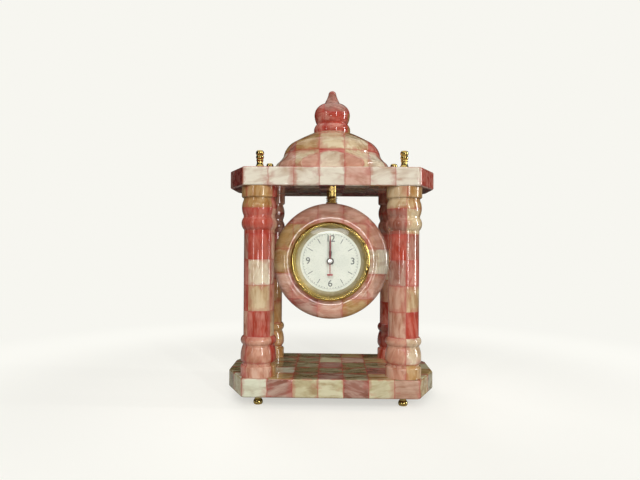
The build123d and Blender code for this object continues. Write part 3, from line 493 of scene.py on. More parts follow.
@dataclass(frozen=True)
class MosaicFinish(Finish):
    """Polished shell tiles with dyed glue lines, drawn from a piece's own batch."""

    grid: TileGrid
    batch: Batch
    facet: float = 2.0
    stretch: Triple = (0.16, 1.0, 1.0)
    seam: float = 0.22
    bleed: float = 5.0
    dye: Triple = (0.42, 0.05, 0.04)
    pearl: Triple = (0.86, 0.83, 0.66)
    depth: Triple = (0.60, 0.46, 0.37)
    pearl_share: float = 0.27
    liveliness: Pair = (0.35, 0.95)
    band_dim: float = 0.5
    dimness: float = 0.62
    bleed_share: float = 0.45
    seam_share: float = 0.5
    seam_matt: float = 0.15
    seam_depth: float = 0.6
    cloud_height: float = 0.4
    gloss: Pair = (0.04, 0.10)
    ior: float = 1.5

    def tint(self, graph: Graph, cell: Source) -> Socket:
        """Draws each tile's tint by chance from the batch.

        Args:
            graph: The material's graph.
            cell: Number of the tile.

        Returns:
            The tint's socket.
        """
        drawn = graph.add(
            "ShaderNodeTexWhiteNoise", {"Vector": cell, "W": self.batch.draw}, noise_dimensions="4D"
        ).outputs["Value"]
        choice = graph.add("ShaderNodeValToRGB", {"Fac": drawn})
        stops = choice.color_ramp
        stops.interpolation = "CONSTANT"
        total = sum(share for _, share in self.batch.mix)
        position = 0.0
        for number, (tint, share) in enumerate(self.batch.mix):
            stop = stops.elements[number] if number < 2 else stops.elements.new(position)
            stop.position = position
            stop.color = (*(value * keep for value, keep in zip(tint.value, self.batch.tone)), 1.0)
            position += share / total
        return choice.outputs["Color"]

    def shade(self) -> None:
        """Builds the mosaic's nodes."""
        graph, shader, here = self.start()
        turn = (0.0, 0.0, self.grid.turn)
        metres = tuple(side * MM for side in self.grid.pitch)
        corner = tuple(side * MM for side in self.grid.corner)
        point = graph.from_grid(here["Object"], Location=corner, Rotation=turn, Scale=metres)
        normal = graph.from_grid(here["Normal"], Rotation=turn)
        laid = {"Point": point, "Normal": normal, "Pitch": self.grid.pitch}
        laid |= {"Facet": self.facet, "Seam": self.seam, "Bleed": self.bleed}
        tile = Effects.place(graph, "tile_cells", laid)
        place = self.millimetres(graph, here)
        shell = Effects.place(
            graph, "nacre", {"Point": place, "Cell": tile["Cell"], "Stretch": self.stretch}
        )
        handled = Effects.place(graph, "handling", {"Point": place})
        tint = self.tint(graph, tile["Cell"])
        lively = graph.ramp(shell["Chance"], 0.0, 1.0, *self.liveliness)
        dim = graph.ramp(shell["Band"], 0.0, 1.0, self.band_dim, 0.0)
        dim = graph.math("MULTIPLY", graph.math("ADD", shell["Cloud"], dim), self.dimness, clamp=True)
        deep = graph.mix(1.0, tint, self.depth, "MULTIPLY")
        colour = graph.mix(dim, tint, deep)
        silk = graph.mix(self.pearl_share, tint, self.pearl)
        colour = graph.mix(graph.math("MULTIPLY", shell["Band"], lively), colour, silk)
        for line, share in (("Bleed", self.bleed_share), ("Seam", self.seam_share)):
            colour = graph.mix(graph.math("MULTIPLY", tile[line], share), colour, self.dye)
        rough = graph.ramp(handled["Smear"], 0.0, 1.0, *self.gloss)
        rough = graph.math("ADD", rough, graph.math("MULTIPLY", tile["Seam"], self.seam_matt))
        graph.fill(shader.inputs, {"Base Color": colour, "Roughness": rough, "IOR": self.ior})
        sunk = graph.math("MULTIPLY", tile["Seam"], self.seam_depth)
        relief = graph.math("MULTIPLY", shell["Cloud"], self.cloud_height)
        relief = graph.math("SUBTRACT", relief, sunk)
        self.bump(graph, shader.inputs, relief, strength=0.25, depth=0.00006)


@dataclass(frozen=True)
class MetalFinish(Finish):
    """Turned or drawn metal with tool rings, a little tarnish, wiped smears and, over a given span,
    painted shade.
    """

    colour: Triple
    tarnish_and_shade: Triple
    polish: float
    lathe: Lathe = Lathe.UPRIGHT
    ring_height: float = 0.000012
    painted_shade_span: Pair | None = None
    wear: float = 0.6
    smear_age: float = 0.35
    ring_age: float = 0.2

    def travel(self, graph: Graph, here: Any) -> Socket:
        """Gives the lathe tool's travel over the piece in millimetres.

        Args:
            graph: The material's graph.
            here: Texture coordinates.

        Returns:
            The travel's socket.
        """
        if self.lathe is Lathe.UPRIGHT:
            return graph.axes(self.millimetres(graph, here))["Z"]
        local = DIAL.mapped(graph, here)
        depth = graph.axes(local)["Z"]
        flat = graph.vector("MULTIPLY", local, (1.0, 1.0, 0.0))
        return graph.math("ADD", graph.vector("LENGTH", flat), depth)

    def shade(self) -> None:
        """Builds the metal's nodes."""
        graph, shader, here = self.start()
        travel = self.travel(graph, here)
        rings = Effects.place(graph, "tool_lines", {"Travel": travel})
        handled = Effects.place(graph, "handling", {"Point": self.millimetres(graph, here)})
        tarnish_and_shade_share = graph.math("MULTIPLY", handled["Smear"], self.smear_age)
        tarnish_and_shade_share = graph.math("ADD", tarnish_and_shade_share, graph.math("MULTIPLY", rings["Tone"], self.ring_age))
        # Painted shade: over this span of travel the metal darkens towards its dark colour.
        if self.painted_shade_span:
            tarnish_and_shade_share = graph.math("ADD", tarnish_and_shade_share, graph.ramp(travel, *self.painted_shade_span), clamp=True)
        colour = graph.mix(tarnish_and_shade_share, self.colour, self.tarnish_and_shade)
        swing = self.polish * self.wear
        rough = graph.ramp(rings["Tone"], 0.0, 1.0, self.polish - swing / 3, self.polish + swing / 2)
        rough = graph.math("ADD", rough, graph.math("MULTIPLY", handled["Smear"], swing))
        graph.fill(shader.inputs, {"Base Color": colour, "Roughness": rough, "Metallic": 1.0})
        self.bump(graph, shader.inputs, rings["Height"], strength=0.3, depth=self.ring_height)


@dataclass(frozen=True)
class MouldedFinish(Finish):
    """Moulded, stamped or painted stock with fine grain and a slow drift of tone."""

    colour: Triple
    shade_to: Triple
    gloss: float
    fineness: float = 4.0
    metal: float = 0.0
    relief: float = 0.00002

    def shade(self) -> None:
        """Builds the grain's nodes."""
        graph, shader, here = self.start()
        place = self.millimetres(graph, here)
        grain = Effects.place(graph, "grain", {"Point": place, "Size": self.fineness})
        speck = graph.ramp(grain["Grain"], 0.4, 0.7, high=0.4)
        share = graph.math("ADD", graph.ramp(grain["Drift"], 0.3, 0.7, high=0.6), speck)
        colour = graph.mix(share, self.colour, self.shade_to)
        rough = graph.ramp(grain["Grain"], 0.2, 0.8, low=self.gloss * 0.85, high=self.gloss * 1.2)
        graph.fill(shader.inputs, {"Base Color": colour, "Roughness": rough, "Metallic": self.metal})
        self.bump(graph, shader.inputs, grain["Grain"], strength=0.35, depth=self.relief)


@dataclass(frozen=True)
class WoundFinish(Finish):
    """Enamelled wire wound side by side along the dial's right, with shade painted into the grooves
    between the wires.
    """

    colour: Triple
    drift_and_groove_shade: Triple
    wires_per_mm: float = 5.0

    def shade(self) -> None:
        """Builds the winding's nodes."""
        graph, shader, here = self.start()
        local = DIAL.mapped(graph, here)
        along = graph.axes(local)["X"]
        wave = graph.math("SINE", graph.math("MULTIPLY", along, 2 * math.pi * self.wires_per_mm))
        wire = graph.ramp(wave, -1.0, 0.6)
        grain = Effects.place(graph, "grain", {"Point": local, "Size": 3.0})
        tone = graph.mix(graph.ramp(grain["Drift"], 0.3, 0.7, high=0.5), self.colour, self.drift_and_groove_shade)
        # Painted shade: the grooves between the wires take the dark colour, which the slow drift of
        # tone also leans towards.
        colour = graph.mix(wire, self.drift_and_groove_shade, tone)
        rough = graph.ramp(grain["Grain"], 0.2, 0.8, low=0.25, high=0.4)
        graph.fill(shader.inputs, {"Base Color": colour, "Roughness": rough, "Metallic": 1.0})
        self.bump(graph, shader.inputs, wire, strength=0.6, depth=0.00005)


@dataclass(frozen=True)
class GlassFinish(Finish):
    """Clear glass that lets the lamps through to the dial, with a few wiped smears."""

    tinge: Triple = (0.985, 0.995, 0.99)
    let_through: Triple = (0.97, 0.98, 0.975)
    ior: float = 1.47
    smear: float = 0.02

    def shade(self) -> None:
        """Builds the glass's nodes."""
        graph, shader, here = self.start()
        handled = Effects.place(graph, "handling", {"Point": self.millimetres(graph, here)})
        rough = graph.ramp(handled["Smear"], 0.0, 1.0, high=self.smear)
        glass = {"Base Color": self.tinge, "Transmission Weight": 1.0, "IOR": self.ior}
        graph.fill(shader.inputs, glass | {"Roughness": rough})
        path = graph.add("ShaderNodeLightPath").outputs
        lamp = graph.math("MAXIMUM", path["Is Shadow Ray"], path["Is Diffuse Ray"])
        clear = graph.add("ShaderNodeBsdfTransparent", {"Color": self.let_through}).outputs[0]
        both = graph.add("ShaderNodeMixShader", {0: lamp, 1: shader.outputs[0], 2: clear}).outputs[0]
        graph.fill(graph.tree.nodes["Material Output"].inputs, {"Surface": both})


@dataclass(frozen=True)
class DialFinish(Finish):
    """Printed card with a stippled silver-white ground."""

    ground: Triple
    stipple: Triple
    fleck_share: float = 0.85

    def shade(self) -> None:
        """Builds the card's nodes."""
        graph, shader, here = self.start()
        place = self.millimetres(graph, here)
        grain = Effects.place(graph, "grain", {"Point": place, "Size": 1.5})
        dots = graph.add("ShaderNodeTexVoronoi", {"Vector": place, "Scale": 0.8}).outputs["Distance"]
        some = graph.ramp(grain["Grain"], 0.4, 0.6)
        fleck = graph.math("MULTIPLY", graph.ramp(dots, 0.12, 0.42, low=1.0, high=0.0), some)
        drift = graph.ramp(grain["Drift"], 0.35, 0.7, high=0.25)
        share = graph.math("ADD", graph.math("MULTIPLY", fleck, self.fleck_share), drift, clamp=True)
        colour = graph.mix(share, self.ground, self.stipple)
        rough = graph.ramp(grain["Grain"], 0.2, 0.8, low=0.42, high=0.6)
        graph.fill(shader.inputs, {"Base Color": colour, "Roughness": rough})
        self.bump(graph, shader.inputs, fleck, strength=0.25, depth=0.00003)


@dataclass
class Piece:
    """One new mesh piece, modelled in a bmesh and then set in its place."""

    name: str
    mesh: bmesh.types.BMesh = field(default_factory=bmesh.new)

    def bar(self, size: Triple, place: Matrix) -> None:
        """Adds a bar with eased edges.

        Args:
            size: Its width, length and height.
            place: Where its middle goes.
        """
        place = place @ Matrix.Diagonal((*size, 1.0))
        made = bmesh.ops.create_cube(self.mesh, size=1.0, matrix=place)
        edges = list({edge for vertex in made["verts"] for edge in vertex.link_edges})
        eased = min(size) * 0.2
        bmesh.ops.bevel(
            self.mesh, geom=edges, offset=eased, segments=1, profile=0.5, affect="EDGES", material=-1
        )

    def turn(self, profile: Iterable[Pair], steps: int) -> None:
        """Turns a closed profile about the local Z axis.

        Args:
            profile: Points of radius and height.
            steps: How many steps a full turn has.
        """
        points = [self.mesh.verts.new((radius, 0.0, height)) for radius, height in profile]
        edges = [self.mesh.edges.new(pair) for pair in zip(points, points[1:] + points[:1])]
        round_z = {"axis": UP, "cent": NOTHING, "angle": 2 * math.pi, "steps": steps}
        bmesh.ops.spin(self.mesh, geom=points + edges, use_merge=True, **round_z)
        bmesh.ops.remove_doubles(self.mesh, verts=self.mesh.verts, dist=1e-7)
        bmesh.ops.recalc_face_normals(self.mesh, faces=self.mesh.faces)

    def lettering(self, text: str, height: float, thickness: float, place: Matrix) -> None:
        """Adds upright figures.

        Args:
            text: The figures.
            height: Their height.
            thickness: How far they stand off the card.
            place: Where their middle goes.
        """
        curve = bpy.data.curves.new(self.name + "_text", "FONT")
        curve.body = text
        curve.size = height / FIGURE_CAP
        curve.extrude = thickness / 2
        curve.align_x = "CENTER"
        curve.align_y = "CENTER"
        holder = bpy.data.objects.new(self.name + "_text", curve)
        flat = bpy.data.meshes.new_from_object(holder)
        flat.transform(place)
        self.mesh.from_mesh(flat)
        bpy.data.objects.remove(holder)
        bpy.data.curves.remove(curve)
        bpy.data.meshes.remove(flat)

    def finish(
        self, finish: Finish, body: str, slot: Slot, place: Matrix, smooth: bool = False
    ) -> bpy.types.Object:
        """Makes the object, sets it in place and lets it ride on its body.

        Args:
            finish: Its finish.
            body: Body that it rides on.
            slot: Not used.
            place: From the piece's own frame to the row frame.
            smooth: Whether its faces are shaded smooth.

        Returns:
            The finished object.
        """
        made = new_object(self.name, self.mesh, finish.material(), place)
        made.data.polygons.foreach_set("use_smooth", [smooth] * len(made.data.polygons))
        made.data.set_sharp_from_angle(angle=SHARP_ANGLE)
        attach(made, body)
        LOG.info("piece %s rides on %s", self.name, body)
        return made


def dress(finish: Finish, *nodes: str) -> None:
    """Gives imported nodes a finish.

    Args:
        finish: The finish.
        *nodes: Names of the nodes.
    """
    for node in nodes:
        shown = frame["nodes"][node]
        for slot in shown.material_slots:
            slot.material = finish.material()
        LOG.info("node %s wears %s", node, finish.name)


TURNED_BRASS = MetalFinish(
    "turned_brass", (0.68, 0.50, 0.17), (0.46, 0.32, 0.09), 0.08, ring_height=0.0000002, wear=0.2
)
SPUN_BRASS = MetalFinish(
    "spun_brass", (0.74, 0.55, 0.18), (0.50, 0.34, 0.08), 0.15, Lathe.DIAL,
    ring_height=0.0000002, wear=0.05,
)
# Painted shade: the reflector ring darkens towards its outer edge under the bezel.
GILT_CONE = MetalFinish(
    "gilt_cone", (0.60, 0.54, 0.36), (0.24, 0.165, 0.045), 0.32, Lathe.DIAL, painted_shade_span=(27.0, 33.0)
)
DRAWN_CUP = MetalFinish("drawn_cup", (0.66, 0.50, 0.22), (0.44, 0.32, 0.12), 0.28, Lathe.DIAL)
THREADED_STEEL = MetalFinish("threaded_steel", (0.55, 0.55, 0.57), (0.36, 0.35, 0.34), 0.3)
CELL_STEEL = MetalFinish("cell_steel", (0.66, 0.66, 0.68), (0.48, 0.48, 0.49), 0.22, Lathe.DIAL)
SOFT_IRON = MouldedFinish("soft_iron", (0.36, 0.36, 0.38), (0.26, 0.25, 0.25), 0.36, 2.0, 1.0)
CONTACT_BRASS = MouldedFinish("contact_brass", (0.68, 0.48, 0.18), (0.50, 0.33, 0.10), 0.3, 2.0, 1.0)
BLACK_PLASTIC = MouldedFinish("black_plastic", (0.022, 0.022, 0.025), (0.036, 0.036, 0.04), 0.42)
WHITE_PLASTIC = MouldedFinish("white_plastic", (0.78, 0.77, 0.73), (0.70, 0.68, 0.62), 0.35)
GRIP_PLASTIC = MouldedFinish("grip_plastic", (0.74, 0.74, 0.71), (0.62, 0.61, 0.58), 0.5)
BOARD_GREEN = MouldedFinish("board_green", (0.03, 0.16, 0.06), (0.02, 0.10, 0.04), 0.35, 1.2)
FERRITE = MouldedFinish("ferrite", (0.06, 0.06, 0.065), (0.03, 0.03, 0.032), 0.5)
COPPER_WINDING = WoundFinish("copper_winding", (0.70, 0.30, 0.12), (0.22, 0.07, 0.02))
LENS_GLASS = GlassFinish("lens_glass")
DIAL_CARD = DialFinish("dial_card", (0.94, 0.95, 0.84), (0.64, 0.68, 0.58))
DIAL_INK = MouldedFinish("dial_ink", (0.030, 0.030, 0.034), (0.05, 0.05, 0.052), 0.5, 6.0)
HAND_DARK = MouldedFinish("hand_dark", (0.045, 0.04, 0.042), (0.075, 0.065, 0.065), 0.32, 3.0, 0.4)
HAND_RED = MouldedFinish("hand_red", (0.42, 0.022, 0.03), (0.32, 0.015, 0.02), 0.3, 3.0)
HUB_SILVER = MouldedFinish("hub_silver", (0.80, 0.78, 0.76), (0.66, 0.64, 0.63), 0.22, 3.0, 1.0)


ROOF_SHELL = Batch(
    (
        (Tint.IVORY, 3.6), (Tint.CREAM, 0.8), (Tint.BLUSH, 1.6), (Tint.MAUVE, 0.9),
        (Tint.CORAL, 0.8), (Tint.GARNET, 0.5), (Tint.TAN, 0.5),
    ),
    3190058.0,
    (1.05, 1.04, 1.10),
)
# The olive share is large to darken the slab's top: partly the tiles' own olive, partly painted shade
# under the roof.
BASE_SHELL = Batch(
    (
        (Tint.IVORY, 1.8), (Tint.CREAM, 1.6), (Tint.BLUSH, 1.0), (Tint.MAUVE, 1.8),
        (Tint.TAN, 1.6), (Tint.OLIVE, 4.5),
    ),
    3495820.0,
    (0.84, 0.93, 0.90),
)
DOME_SHELL = Batch(
    (
        (Tint.CREAM, 1.5), (Tint.IVORY, 1.3), (Tint.TAN, 1.1), (Tint.BLUSH, 1.4),
        (Tint.MAUVE, 0.8), (Tint.CORAL, 1.1),
    ),
    4942741.0,
    (0.95, 0.90, 0.87),
)
SPIRE_SHELL = Batch(
    ((Tint.CORAL, 3.0), (Tint.BLUSH, 1.0), (Tint.MAUVE, 0.8), (Tint.TAN, 0.8), (Tint.GARNET, 0.3)),
    10181.0,
)
# This draw puts darker mauve and tan tiles along the drum's bottom: painted shade on its lower part.
DRUM_SHELL = Batch(
    (
        (Tint.BLUSH, 2.0), (Tint.MAUVE, 1.2), (Tint.TAN, 1.2), (Tint.CREAM, 1.5),
        (Tint.CORAL, 0.6), (Tint.IVORY, 0.8),
    ),
    2275411.0,
)
COLUMN_MIX = (
    (Tint.IVORY, 1.4), (Tint.CREAM, 1.3), (Tint.BLUSH, 1.3), (Tint.MAUVE, 1.5),
    (Tint.CORAL, 2.0), (Tint.GARNET, 0.5), (Tint.TAN, 0.9),
)


@dataclass
class Case:
    """The mosaic case: two slabs, four columns, the dome and its spire, and the hanging drum."""

    tile: float = 19.86
    slab_rows: int = 5
    slab_facet: float = 0.708
    seat: float = 1.0
    column_course: float = 20.3
    column_first_joint: float = 34.9
    column_turns: tuple[float, ...] = (0.92, 0.03, 0.35, 1.2)
    column_draws: tuple[float, ...] = (3625168.0, 1825710.0, 202695.0, 260543.0)
    column_tone: Triple = (0.98, 0.88, 0.80)
    column_stretch: Triple = (1.0, 1.0, 0.16)
    dome_joint: float = 15.5
    dome_facet: float = 0.998
    flat_joint: float = 0.6
    spire_seam: float = -6.7
    spire_joint: float = 16.4
    drum_tile: float = 21.0
    drum_depth: float = 1.3
    drum_seam: float = 0.13

    def dress_slab(self, node: str, batch: Batch) -> None:
        """Lays a slab's tiles: seven along its front, one through its thickness, each face its own.

        Args:
            node: The slab's node.
            batch: Its shell.
        """
        low, high = box_mm(node)
        row = (high.y - low.y + 2 * self.seat) / self.slab_rows
        corner = (self.tile / 2, low.y - self.seat, low.z - self.tile / 2)
        grid = TileGrid(corner, (self.tile, row, 2 * self.tile))
        dress(MosaicFinish(node + "_mosaic", grid, batch, facet=self.slab_facet), node)

    def dress_column(self, node: str, batch: Batch, turn: float) -> None:
        """Lays a column's tiles in courses of four, which meet at joints through its axis.

        Args:
            node: The column's node.
            batch: Its shell.
            turn: How far the column is screwed round.
        """
        low, high = box_mm(node)
        middle = (low + high) / 2
        across = high.x - low.x
        corner = (middle.x, middle.y, self.column_first_joint)
        grid = TileGrid(corner, (across, across, self.column_course), turn)
        dress(MosaicFinish(node + "_mosaic", grid, batch, stretch=self.column_stretch), node)

    def dress_crown(self) -> None:
        """Dresses the dome and the spire."""
        low, high = box_mm("dome")
        flat = (high.y - low.y) / 2 - self.flat_joint
        corner = (self.tile / 2, -flat, low.z + self.dome_joint)
        grid = TileGrid(corner, (self.tile, flat / 2, self.tile))
        dress(MosaicFinish("dome_mosaic", grid, DOME_SHELL, facet=self.dome_facet), "dome")
        low, high = box_mm("spire")
        corner = (self.spire_seam, -self.spire_seam / 2, low.z + self.spire_joint)
        dress(MosaicFinish("spire_mosaic", TileGrid(corner, (self.tile,) * 3), SPIRE_SHELL), "spire")

    def dress_drum(self) -> None:
        """Dresses the drum, whose tiles turn with the dial."""
        low, high = box_mm("drum")
        turn = DIAL.yaw()
        slant = Vector((math.cos(turn), math.sin(turn), 1.0))
        corner = (low + high) / 2 + slant * (self.drum_tile / 2)
        pitch = (self.drum_tile, self.drum_depth * self.drum_tile, self.drum_tile)
        grid = TileGrid(tuple(corner), pitch, turn)
        dress(MosaicFinish("drum_mosaic", grid, DRUM_SHELL, seam=self.drum_seam), "drum")

    def build(self) -> None:
        """Dresses the whole case."""
        self.dress_slab("roof_slab", ROOF_SHELL)
        self.dress_slab("base_slab", BASE_SHELL)
        for corner, draw, turn in zip(CORNERS, self.column_draws, self.column_turns):
            self.dress_column("column_" + corner, Batch(COLUMN_MIX, draw, self.column_tone), turn)
        self.dress_crown()
        self.dress_drum()


@dataclass
class Fittings:
    """The brass nuts, feet and post, and the steel rods that they are screwed on."""

    uprights: tuple[str, ...] = ("finial_nut_", "foot_nut_")
    post_foot: float = 0.96
    post_neck: float = 0.64
    post_sleeve: float = 0.88
    post_sleeve_start: float = 0.6
    post_beads: tuple[Triple, ...] = (
        (0.02, 0.22, 1.0), (0.24, 0.38, 0.94), (0.40, 0.56, 1.0),
    )
    bead_steps: int = 10

    def build_post(self) -> None:
        """Turns the hanging post with its full beads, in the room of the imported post."""
        low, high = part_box("hanger_post")
        rod_low, rod_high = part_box("centre_rod")
        bore = (rod_high.x - rod_low.x) / 2
        radius, length = (high.x - low.x) / 2, high.z - low.z
        profile = [(bore, 0.0), (radius * self.post_foot, 0.0)]
        for start, end, swell in self.post_beads:
            for step in range(self.bead_steps + 1):
                angle = math.pi * step / self.bead_steps
                out = self.post_neck + (swell - self.post_neck) * math.sin(angle)
                rise = start + (end - start) * (1 - math.cos(angle)) / 2
                profile.append((radius * out, length * rise))
        sleeve = radius * self.post_sleeve
        profile += [(sleeve, length * self.post_sleeve_start), (sleeve, length), (bore, length)]
        post = Piece("turned_post")
        post.turn(profile, TURN_STEPS)
        place = Matrix.Translation((0.0, 0.0, low.z))
        made = post.finish(TURNED_BRASS, "case", Slot.BRASS, place, smooth=True)
        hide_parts("hanger_post")

    def build(self) -> None:
        """Dresses the fittings."""
        dress(TURNED_BRASS, *(kind + corner for kind in self.uprights for corner in CORNERS))
        dress(TURNED_BRASS, "drum_socket", "lock_nut", "lock_washer")
        dress(THREADED_STEEL, "centre_rod", *("tie_rod_" + corner for corner in CORNERS))
        self.build_post()


@dataclass
class Insert:
    """The quartz insert's case and movement."""

    wheels: tuple[str, ...] = (
        "rotor_pinion", "fifth_wheel", "second_wheel", "third_wheel", "centre_wheel",
        "cannon_pinion", "minute_wheel", "hour_wheel",
    )

    def build(self) -> None:
        """Dresses the insert."""
        dress(SPUN_BRASS, "bezel")
        dress(GILT_CONE, "reflector_ring")
        dress(LENS_GLASS, "lens")
        dress(DIAL_CARD, "dial")
        dress(DRAWN_CUP, "cup")
        dress(GRIP_PLASTIC, "grip_ring")
        dress(BLACK_PLASTIC, "back_cover", "battery_cover", "front_plate", "rear_plate", "set_knob")
        dress(WHITE_PLASTIC, *self.wheels)
        dress(SOFT_IRON, "stator", "coil_core")
        dress(COPPER_WINDING, "coil")
        dress(CELL_STEEL, "battery", "quartz_crystal")
        dress(CONTACT_BRASS, "battery_contacts")
        dress(BOARD_GREEN, "circuit_board")
        dress(FERRITE, "rotor_magnet")
        dress(THREADED_STEEL, "movement_screws")


@dataclass
class DialPrint:
    """The dial's printed figures, hour strokes and minute track, which stand a hair off the card."""

    figure_radius: float = 18.8 * MM
    figure_height: float = 5.6 * MM
    stroke_inner: float = 17.2 * MM
    stroke_outer: float = 21.4 * MM
    stroke_width: float = 0.5 * MM
    track_radius: float = 23.3 * MM
    track_width: float = 0.14 * MM
    tick_length: float = 0.7 * MM
    tick_width: float = 0.42 * MM
    film: float = 0.03 * MM
    figures: dict[int, str] = field(default_factory=lambda: {3: "3", 6: "6", 9: "9", 12: "12"})

    def around(self, share: float, radius: float) -> Matrix:
        """Gives a place at a share of a turn from the dial's top, turned to point at its centre."""
        turn = Matrix.Rotation(-share * 2 * math.pi, 4, "Z")
        return turn @ Matrix.Translation((0.0, radius, self.film / 2))

    def build_figures(self) -> None:
        """Makes the four figures, all upright."""
        piece = Piece("dial_figures")
        for hour, text in self.figures.items():
            spot = self.around(hour / 12, self.figure_radius).translation
            piece.lettering(text, self.figure_height, self.film, Matrix.Translation(spot))
        piece.finish(DIAL_INK, "insert", Slot.BLACK_PLASTIC, DIAL.matrix())

    def build_strokes(self) -> None:
        """Makes a stroke at each hour without a figure."""
        piece = Piece("dial_hour_strokes")
        length = self.stroke_outer - self.stroke_inner
        for hour in range(1, 13):
            if hour not in self.figures:
                place = self.around(hour / 12, self.stroke_inner + length / 2)
                piece.bar((self.stroke_width, length, self.film), place)
        piece.finish(DIAL_INK, "insert", Slot.BLACK_PLASTIC, DIAL.matrix())

    def build_track(self) -> None:
        """Makes the minute track: a fine ring and sixty ticks inside it."""
        piece = Piece("dial_minute_track")
        inner, outer = self.track_radius, self.track_radius + self.track_width
        profile = ((inner, 0.0), (outer, 0.0), (outer, self.film), (inner, self.film))
        piece.turn(profile, RING_STEPS)
        for minute in range(60):
            place = self.around(minute / 60, self.track_radius - self.tick_length)
            piece.bar((self.tick_width, self.tick_length, self.film), place)
        piece.finish(DIAL_INK, "insert", Slot.BLACK_PLASTIC, DIAL.matrix())

    def build(self) -> None:
        """Makes the whole print."""
        self.build_figures()
        self.build_strokes()
        self.build_track()


@dataclass
class Hands:
    """The three hands and the bright hub in their middle."""

    hub_radius: float = 2.1 * MM
    hub_height: float = 0.6 * MM
    hub_bore: float = 0.62 * MM
    hub_edge: tuple[Pair, ...] = ((1.0, 0.5), (0.92, 0.8), (0.75, 1.0))

    def build(self) -> None:
        """Dresses the hands and turns the hub on the second hand."""
        dress(HAND_DARK, "hour_hand", "minute_hand")
        dress(HAND_RED, "second_hand")
        low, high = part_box("second_hand")
        front = max((corner - DIAL.centre).dot(DIAL.out) for corner in (low, high))
        hub = Piece("second_hub")
        radius, height = self.hub_radius, self.hub_height
        edge = [(radius * out, height * rise) for out, rise in self.hub_edge]
        profile = [(self.hub_bore, 0.0), (radius, 0.0), *edge, (self.hub_bore, height)]
        hub.turn(profile, TURN_STEPS)
        place = DIAL.matrix() @ Matrix.Translation((0.0, 0.0, front))
        hub.finish(HUB_SILVER, "second_train", Slot.STEEL, place)


@dataclass(frozen=True)
class Lamp:
    """A soft box: where it stands, its width and height, its watts and the rays it answers to."""

    name: str
    at: Triple
    size: Pair
    power: float
    reach: Reach


LAMPS = (
    Lamp("key_box", (-0.02, -1.12, 0.75), (0.8, 0.8), 8.5, Reach.SOFT),
    Lamp("rear_box", (-0.45, 1.1, 0.95), (0.8, 0.8), 6.0, Reach.SOFT),
    Lamp("near_strip", (0.50, -0.98, 0.34), (0.05, 0.7), 3.4, Reach.BOTH),
    Lamp("left_strip", (-0.72, -0.95, 0.34), (0.04, 0.7), 1.4, Reach.BOTH),
    Lamp("right_strip", (1.0, -0.06, 0.34), (0.05, 0.7), 3.0, Reach.BOTH),
    Lamp("right_glint", (1.0, -0.06, 0.34), (0.09, 0.7), 7.0, Reach.GLINT),
    Lamp("camera_glint", (-0.08, -0.77, 0.095), (0.035, 0.035), 0.11, Reach.GLINT),
    Lamp("upper_glint", (-0.12, -1.02, 0.57), (0.62, 0.08), 0.5, Reach.GLINT),
)


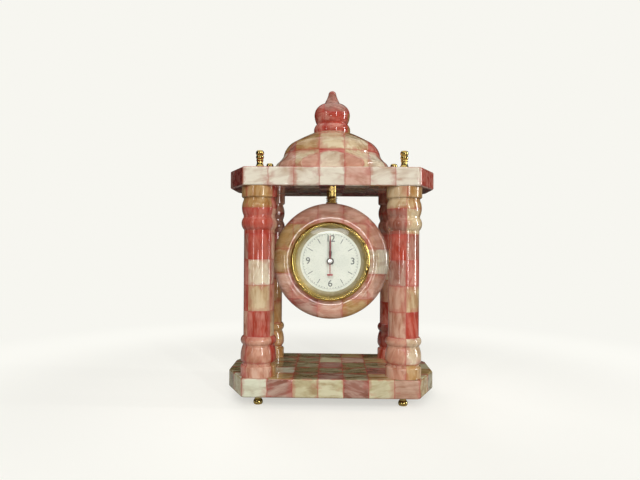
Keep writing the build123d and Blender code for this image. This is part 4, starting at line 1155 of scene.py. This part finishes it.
@dataclass
class Studio:
    """A pale floor, soft lamps and a camera where the photograph was taken."""

    pale: Triple = (0.930, 0.922, 0.871)
    ambient: float = 0.3
    aim: Triple = (0.0, 0.0, 0.13)
    floor_reach: float = 6.0
    floor_mirrored: float = 0.15
    floor_matt: Triple = (0.49, 0.486, 0.462)
    floor_glow: float = 0.60
    floor_fade: Pair = (0.12, 0.5)
    flag_width: float = 3.0
    flag_height: float = 1.8
    flag_distance: float = 1.5
    flag_dark: Triple = (0.02, 0.022, 0.02)
    camera_at: Triple = (-0.00087, -0.4881, 0.1294)
    pitch: float = 0.0051
    roll: float = -0.0069
    yaw: float = 0.0184
    focal_pixels: float = 561.5

    def shown(self, graph: Graph, mirrored: float) -> Socket:
        """Gives how far a ray shows the background.

        Args:
            graph: The graph of what glows.
            mirrored: Share that polished faces reflect.

        Returns:
            Socket with 1 to the eye and through glass, the share in polish, and 0 for other light.
        """
        path = graph.add("ShaderNodeLightPath").outputs
        seen = graph.math("MAXIMUM", path["Is Camera Ray"], path["Is Transmission Ray"])
        return graph.math("MAXIMUM", seen, graph.math("MULTIPLY", path["Is Glossy Ray"], mirrored))

    def build_world(self) -> None:
        """Makes the soft light all round, and the pale background that shows."""
        world = bpy.data.worlds.new("studio_air")
        world.use_nodes = True
        bpy.context.scene.world = world
        graph = Graph(world.node_tree)
        shown = self.shown(graph, 1.0)
        strength = graph.ramp(shown, 0.0, 1.0, self.ambient, 1.0)
        background = world.node_tree.nodes["Background"].inputs
        graph.fill(background, {"Color": self.pale, "Strength": strength})

    def build_floor(self) -> None:
        """Makes the floor, which keeps the shadow near the clock and fades into the background."""
        mesh = bmesh.new()
        bmesh.ops.create_circle(mesh, cap_ends=True, segments=96, radius=self.floor_reach)
        graph, shader, material = new_material("studio_floor")
        here = graph.add("ShaderNodeTexCoord").outputs["Object"]
        far = graph.ramp(graph.vector("LENGTH", here), *self.floor_fade)
        matt = graph.mix(far, self.floor_matt, NOTHING)
        glow = graph.ramp(far, 0.0, 1.0, self.floor_glow, 1.0)
        glow = graph.math("MULTIPLY", glow, self.shown(graph, self.floor_mirrored))
        values = {"Base Color": matt, "Roughness": 0.9, "Specular IOR Level": 0.0}
        values |= {"Emission Color": self.pale, "Emission Strength": glow}
        graph.fill(shader.inputs, values)
        floor = new_object("studio_floor", mesh, material, Matrix())

    def build_lamps(self) -> None:
        """Sets soft boxes before and behind, and strips that draw lines of light on the turnings."""
        for lamp in LAMPS:
            light = bpy.data.lights.new(lamp.name, "AREA")
            light.shape = "RECTANGLE"
            light.size, light.size_y = lamp.size
            light.energy = lamp.power
            made = bpy.data.objects.new(lamp.name, light)
            made.location = lamp.at
            way = Vector(self.aim) - Vector(lamp.at)
            made.rotation_euler = way.to_track_quat("-Z", "Y").to_euler()
            for ray in Reach.BOTH.value:
                setattr(made, "visible_" + ray, ray in lamp.reach.value)
            bpy.context.scene.collection.objects.link(made)

    def build_flags(self) -> None:
        """Hangs a dark cloth on each side of the clock, which only polished faces reflect."""
        graph, shader, material = new_material("studio_flag")
        graph.fill(shader.inputs, {"Base Color": self.flag_dark, "Roughness": 1.0})
        for number, name in enumerate(("flag_front", "flag_right", "flag_rear", "flag_left")):
            mesh = bmesh.new()
            hung = Matrix.Translation((0.0, -self.flag_distance, self.flag_height / 2))
            size = Matrix.Diagonal((self.flag_width, self.flag_height, 1.0, 1.0))
            upright = Matrix.Rotation(math.pi / 2, 4, "X") @ size
            place = Matrix.Rotation(number * math.pi / 2, 4, "Z") @ hung @ upright
            bmesh.ops.create_grid(mesh, x_segments=1, y_segments=1, size=0.5, matrix=place)
            flag = new_object(name, mesh, material, Matrix())
            for ray in ("camera", "diffuse", "transmission", "volume_scatter", "shadow"):
                setattr(flag, "visible_" + ray, False)

    def build_camera(self) -> None:
        """Sets the camera."""
        camera = bpy.data.objects.new("camera", bpy.data.cameras.new("camera"))
        camera.data.sensor_width = SENSOR_WIDTH
        camera.data.lens = self.focal_pixels / IMAGE_WIDTH * SENSOR_WIDTH
        camera.data.clip_start = 0.01
        camera.location = self.camera_at
        camera.rotation_euler = (math.pi / 2 + self.pitch, self.roll, self.yaw)
        bpy.context.scene.collection.objects.link(camera)
        bpy.context.scene.camera = camera

    def build(self) -> None:
        """Makes the studio."""
        bpy.context.scene.view_settings.view_transform = "Standard"
        self.build_world()
        self.build_floor()
        self.build_lamps()
        self.build_flags()
        self.build_camera()


def main() -> None:
    """Dresses the clock from the case inwards, then sets up the studio."""
    logging.basicConfig(level=logging.INFO, format="%(name)s: %(message)s")
    for part in (Case(), Fittings(), Insert(), DialPrint(), Hands(), Studio()):
        part.build()
        LOG.info("%s is done", type(part).__name__)


if __name__ == "__main__":
    main()
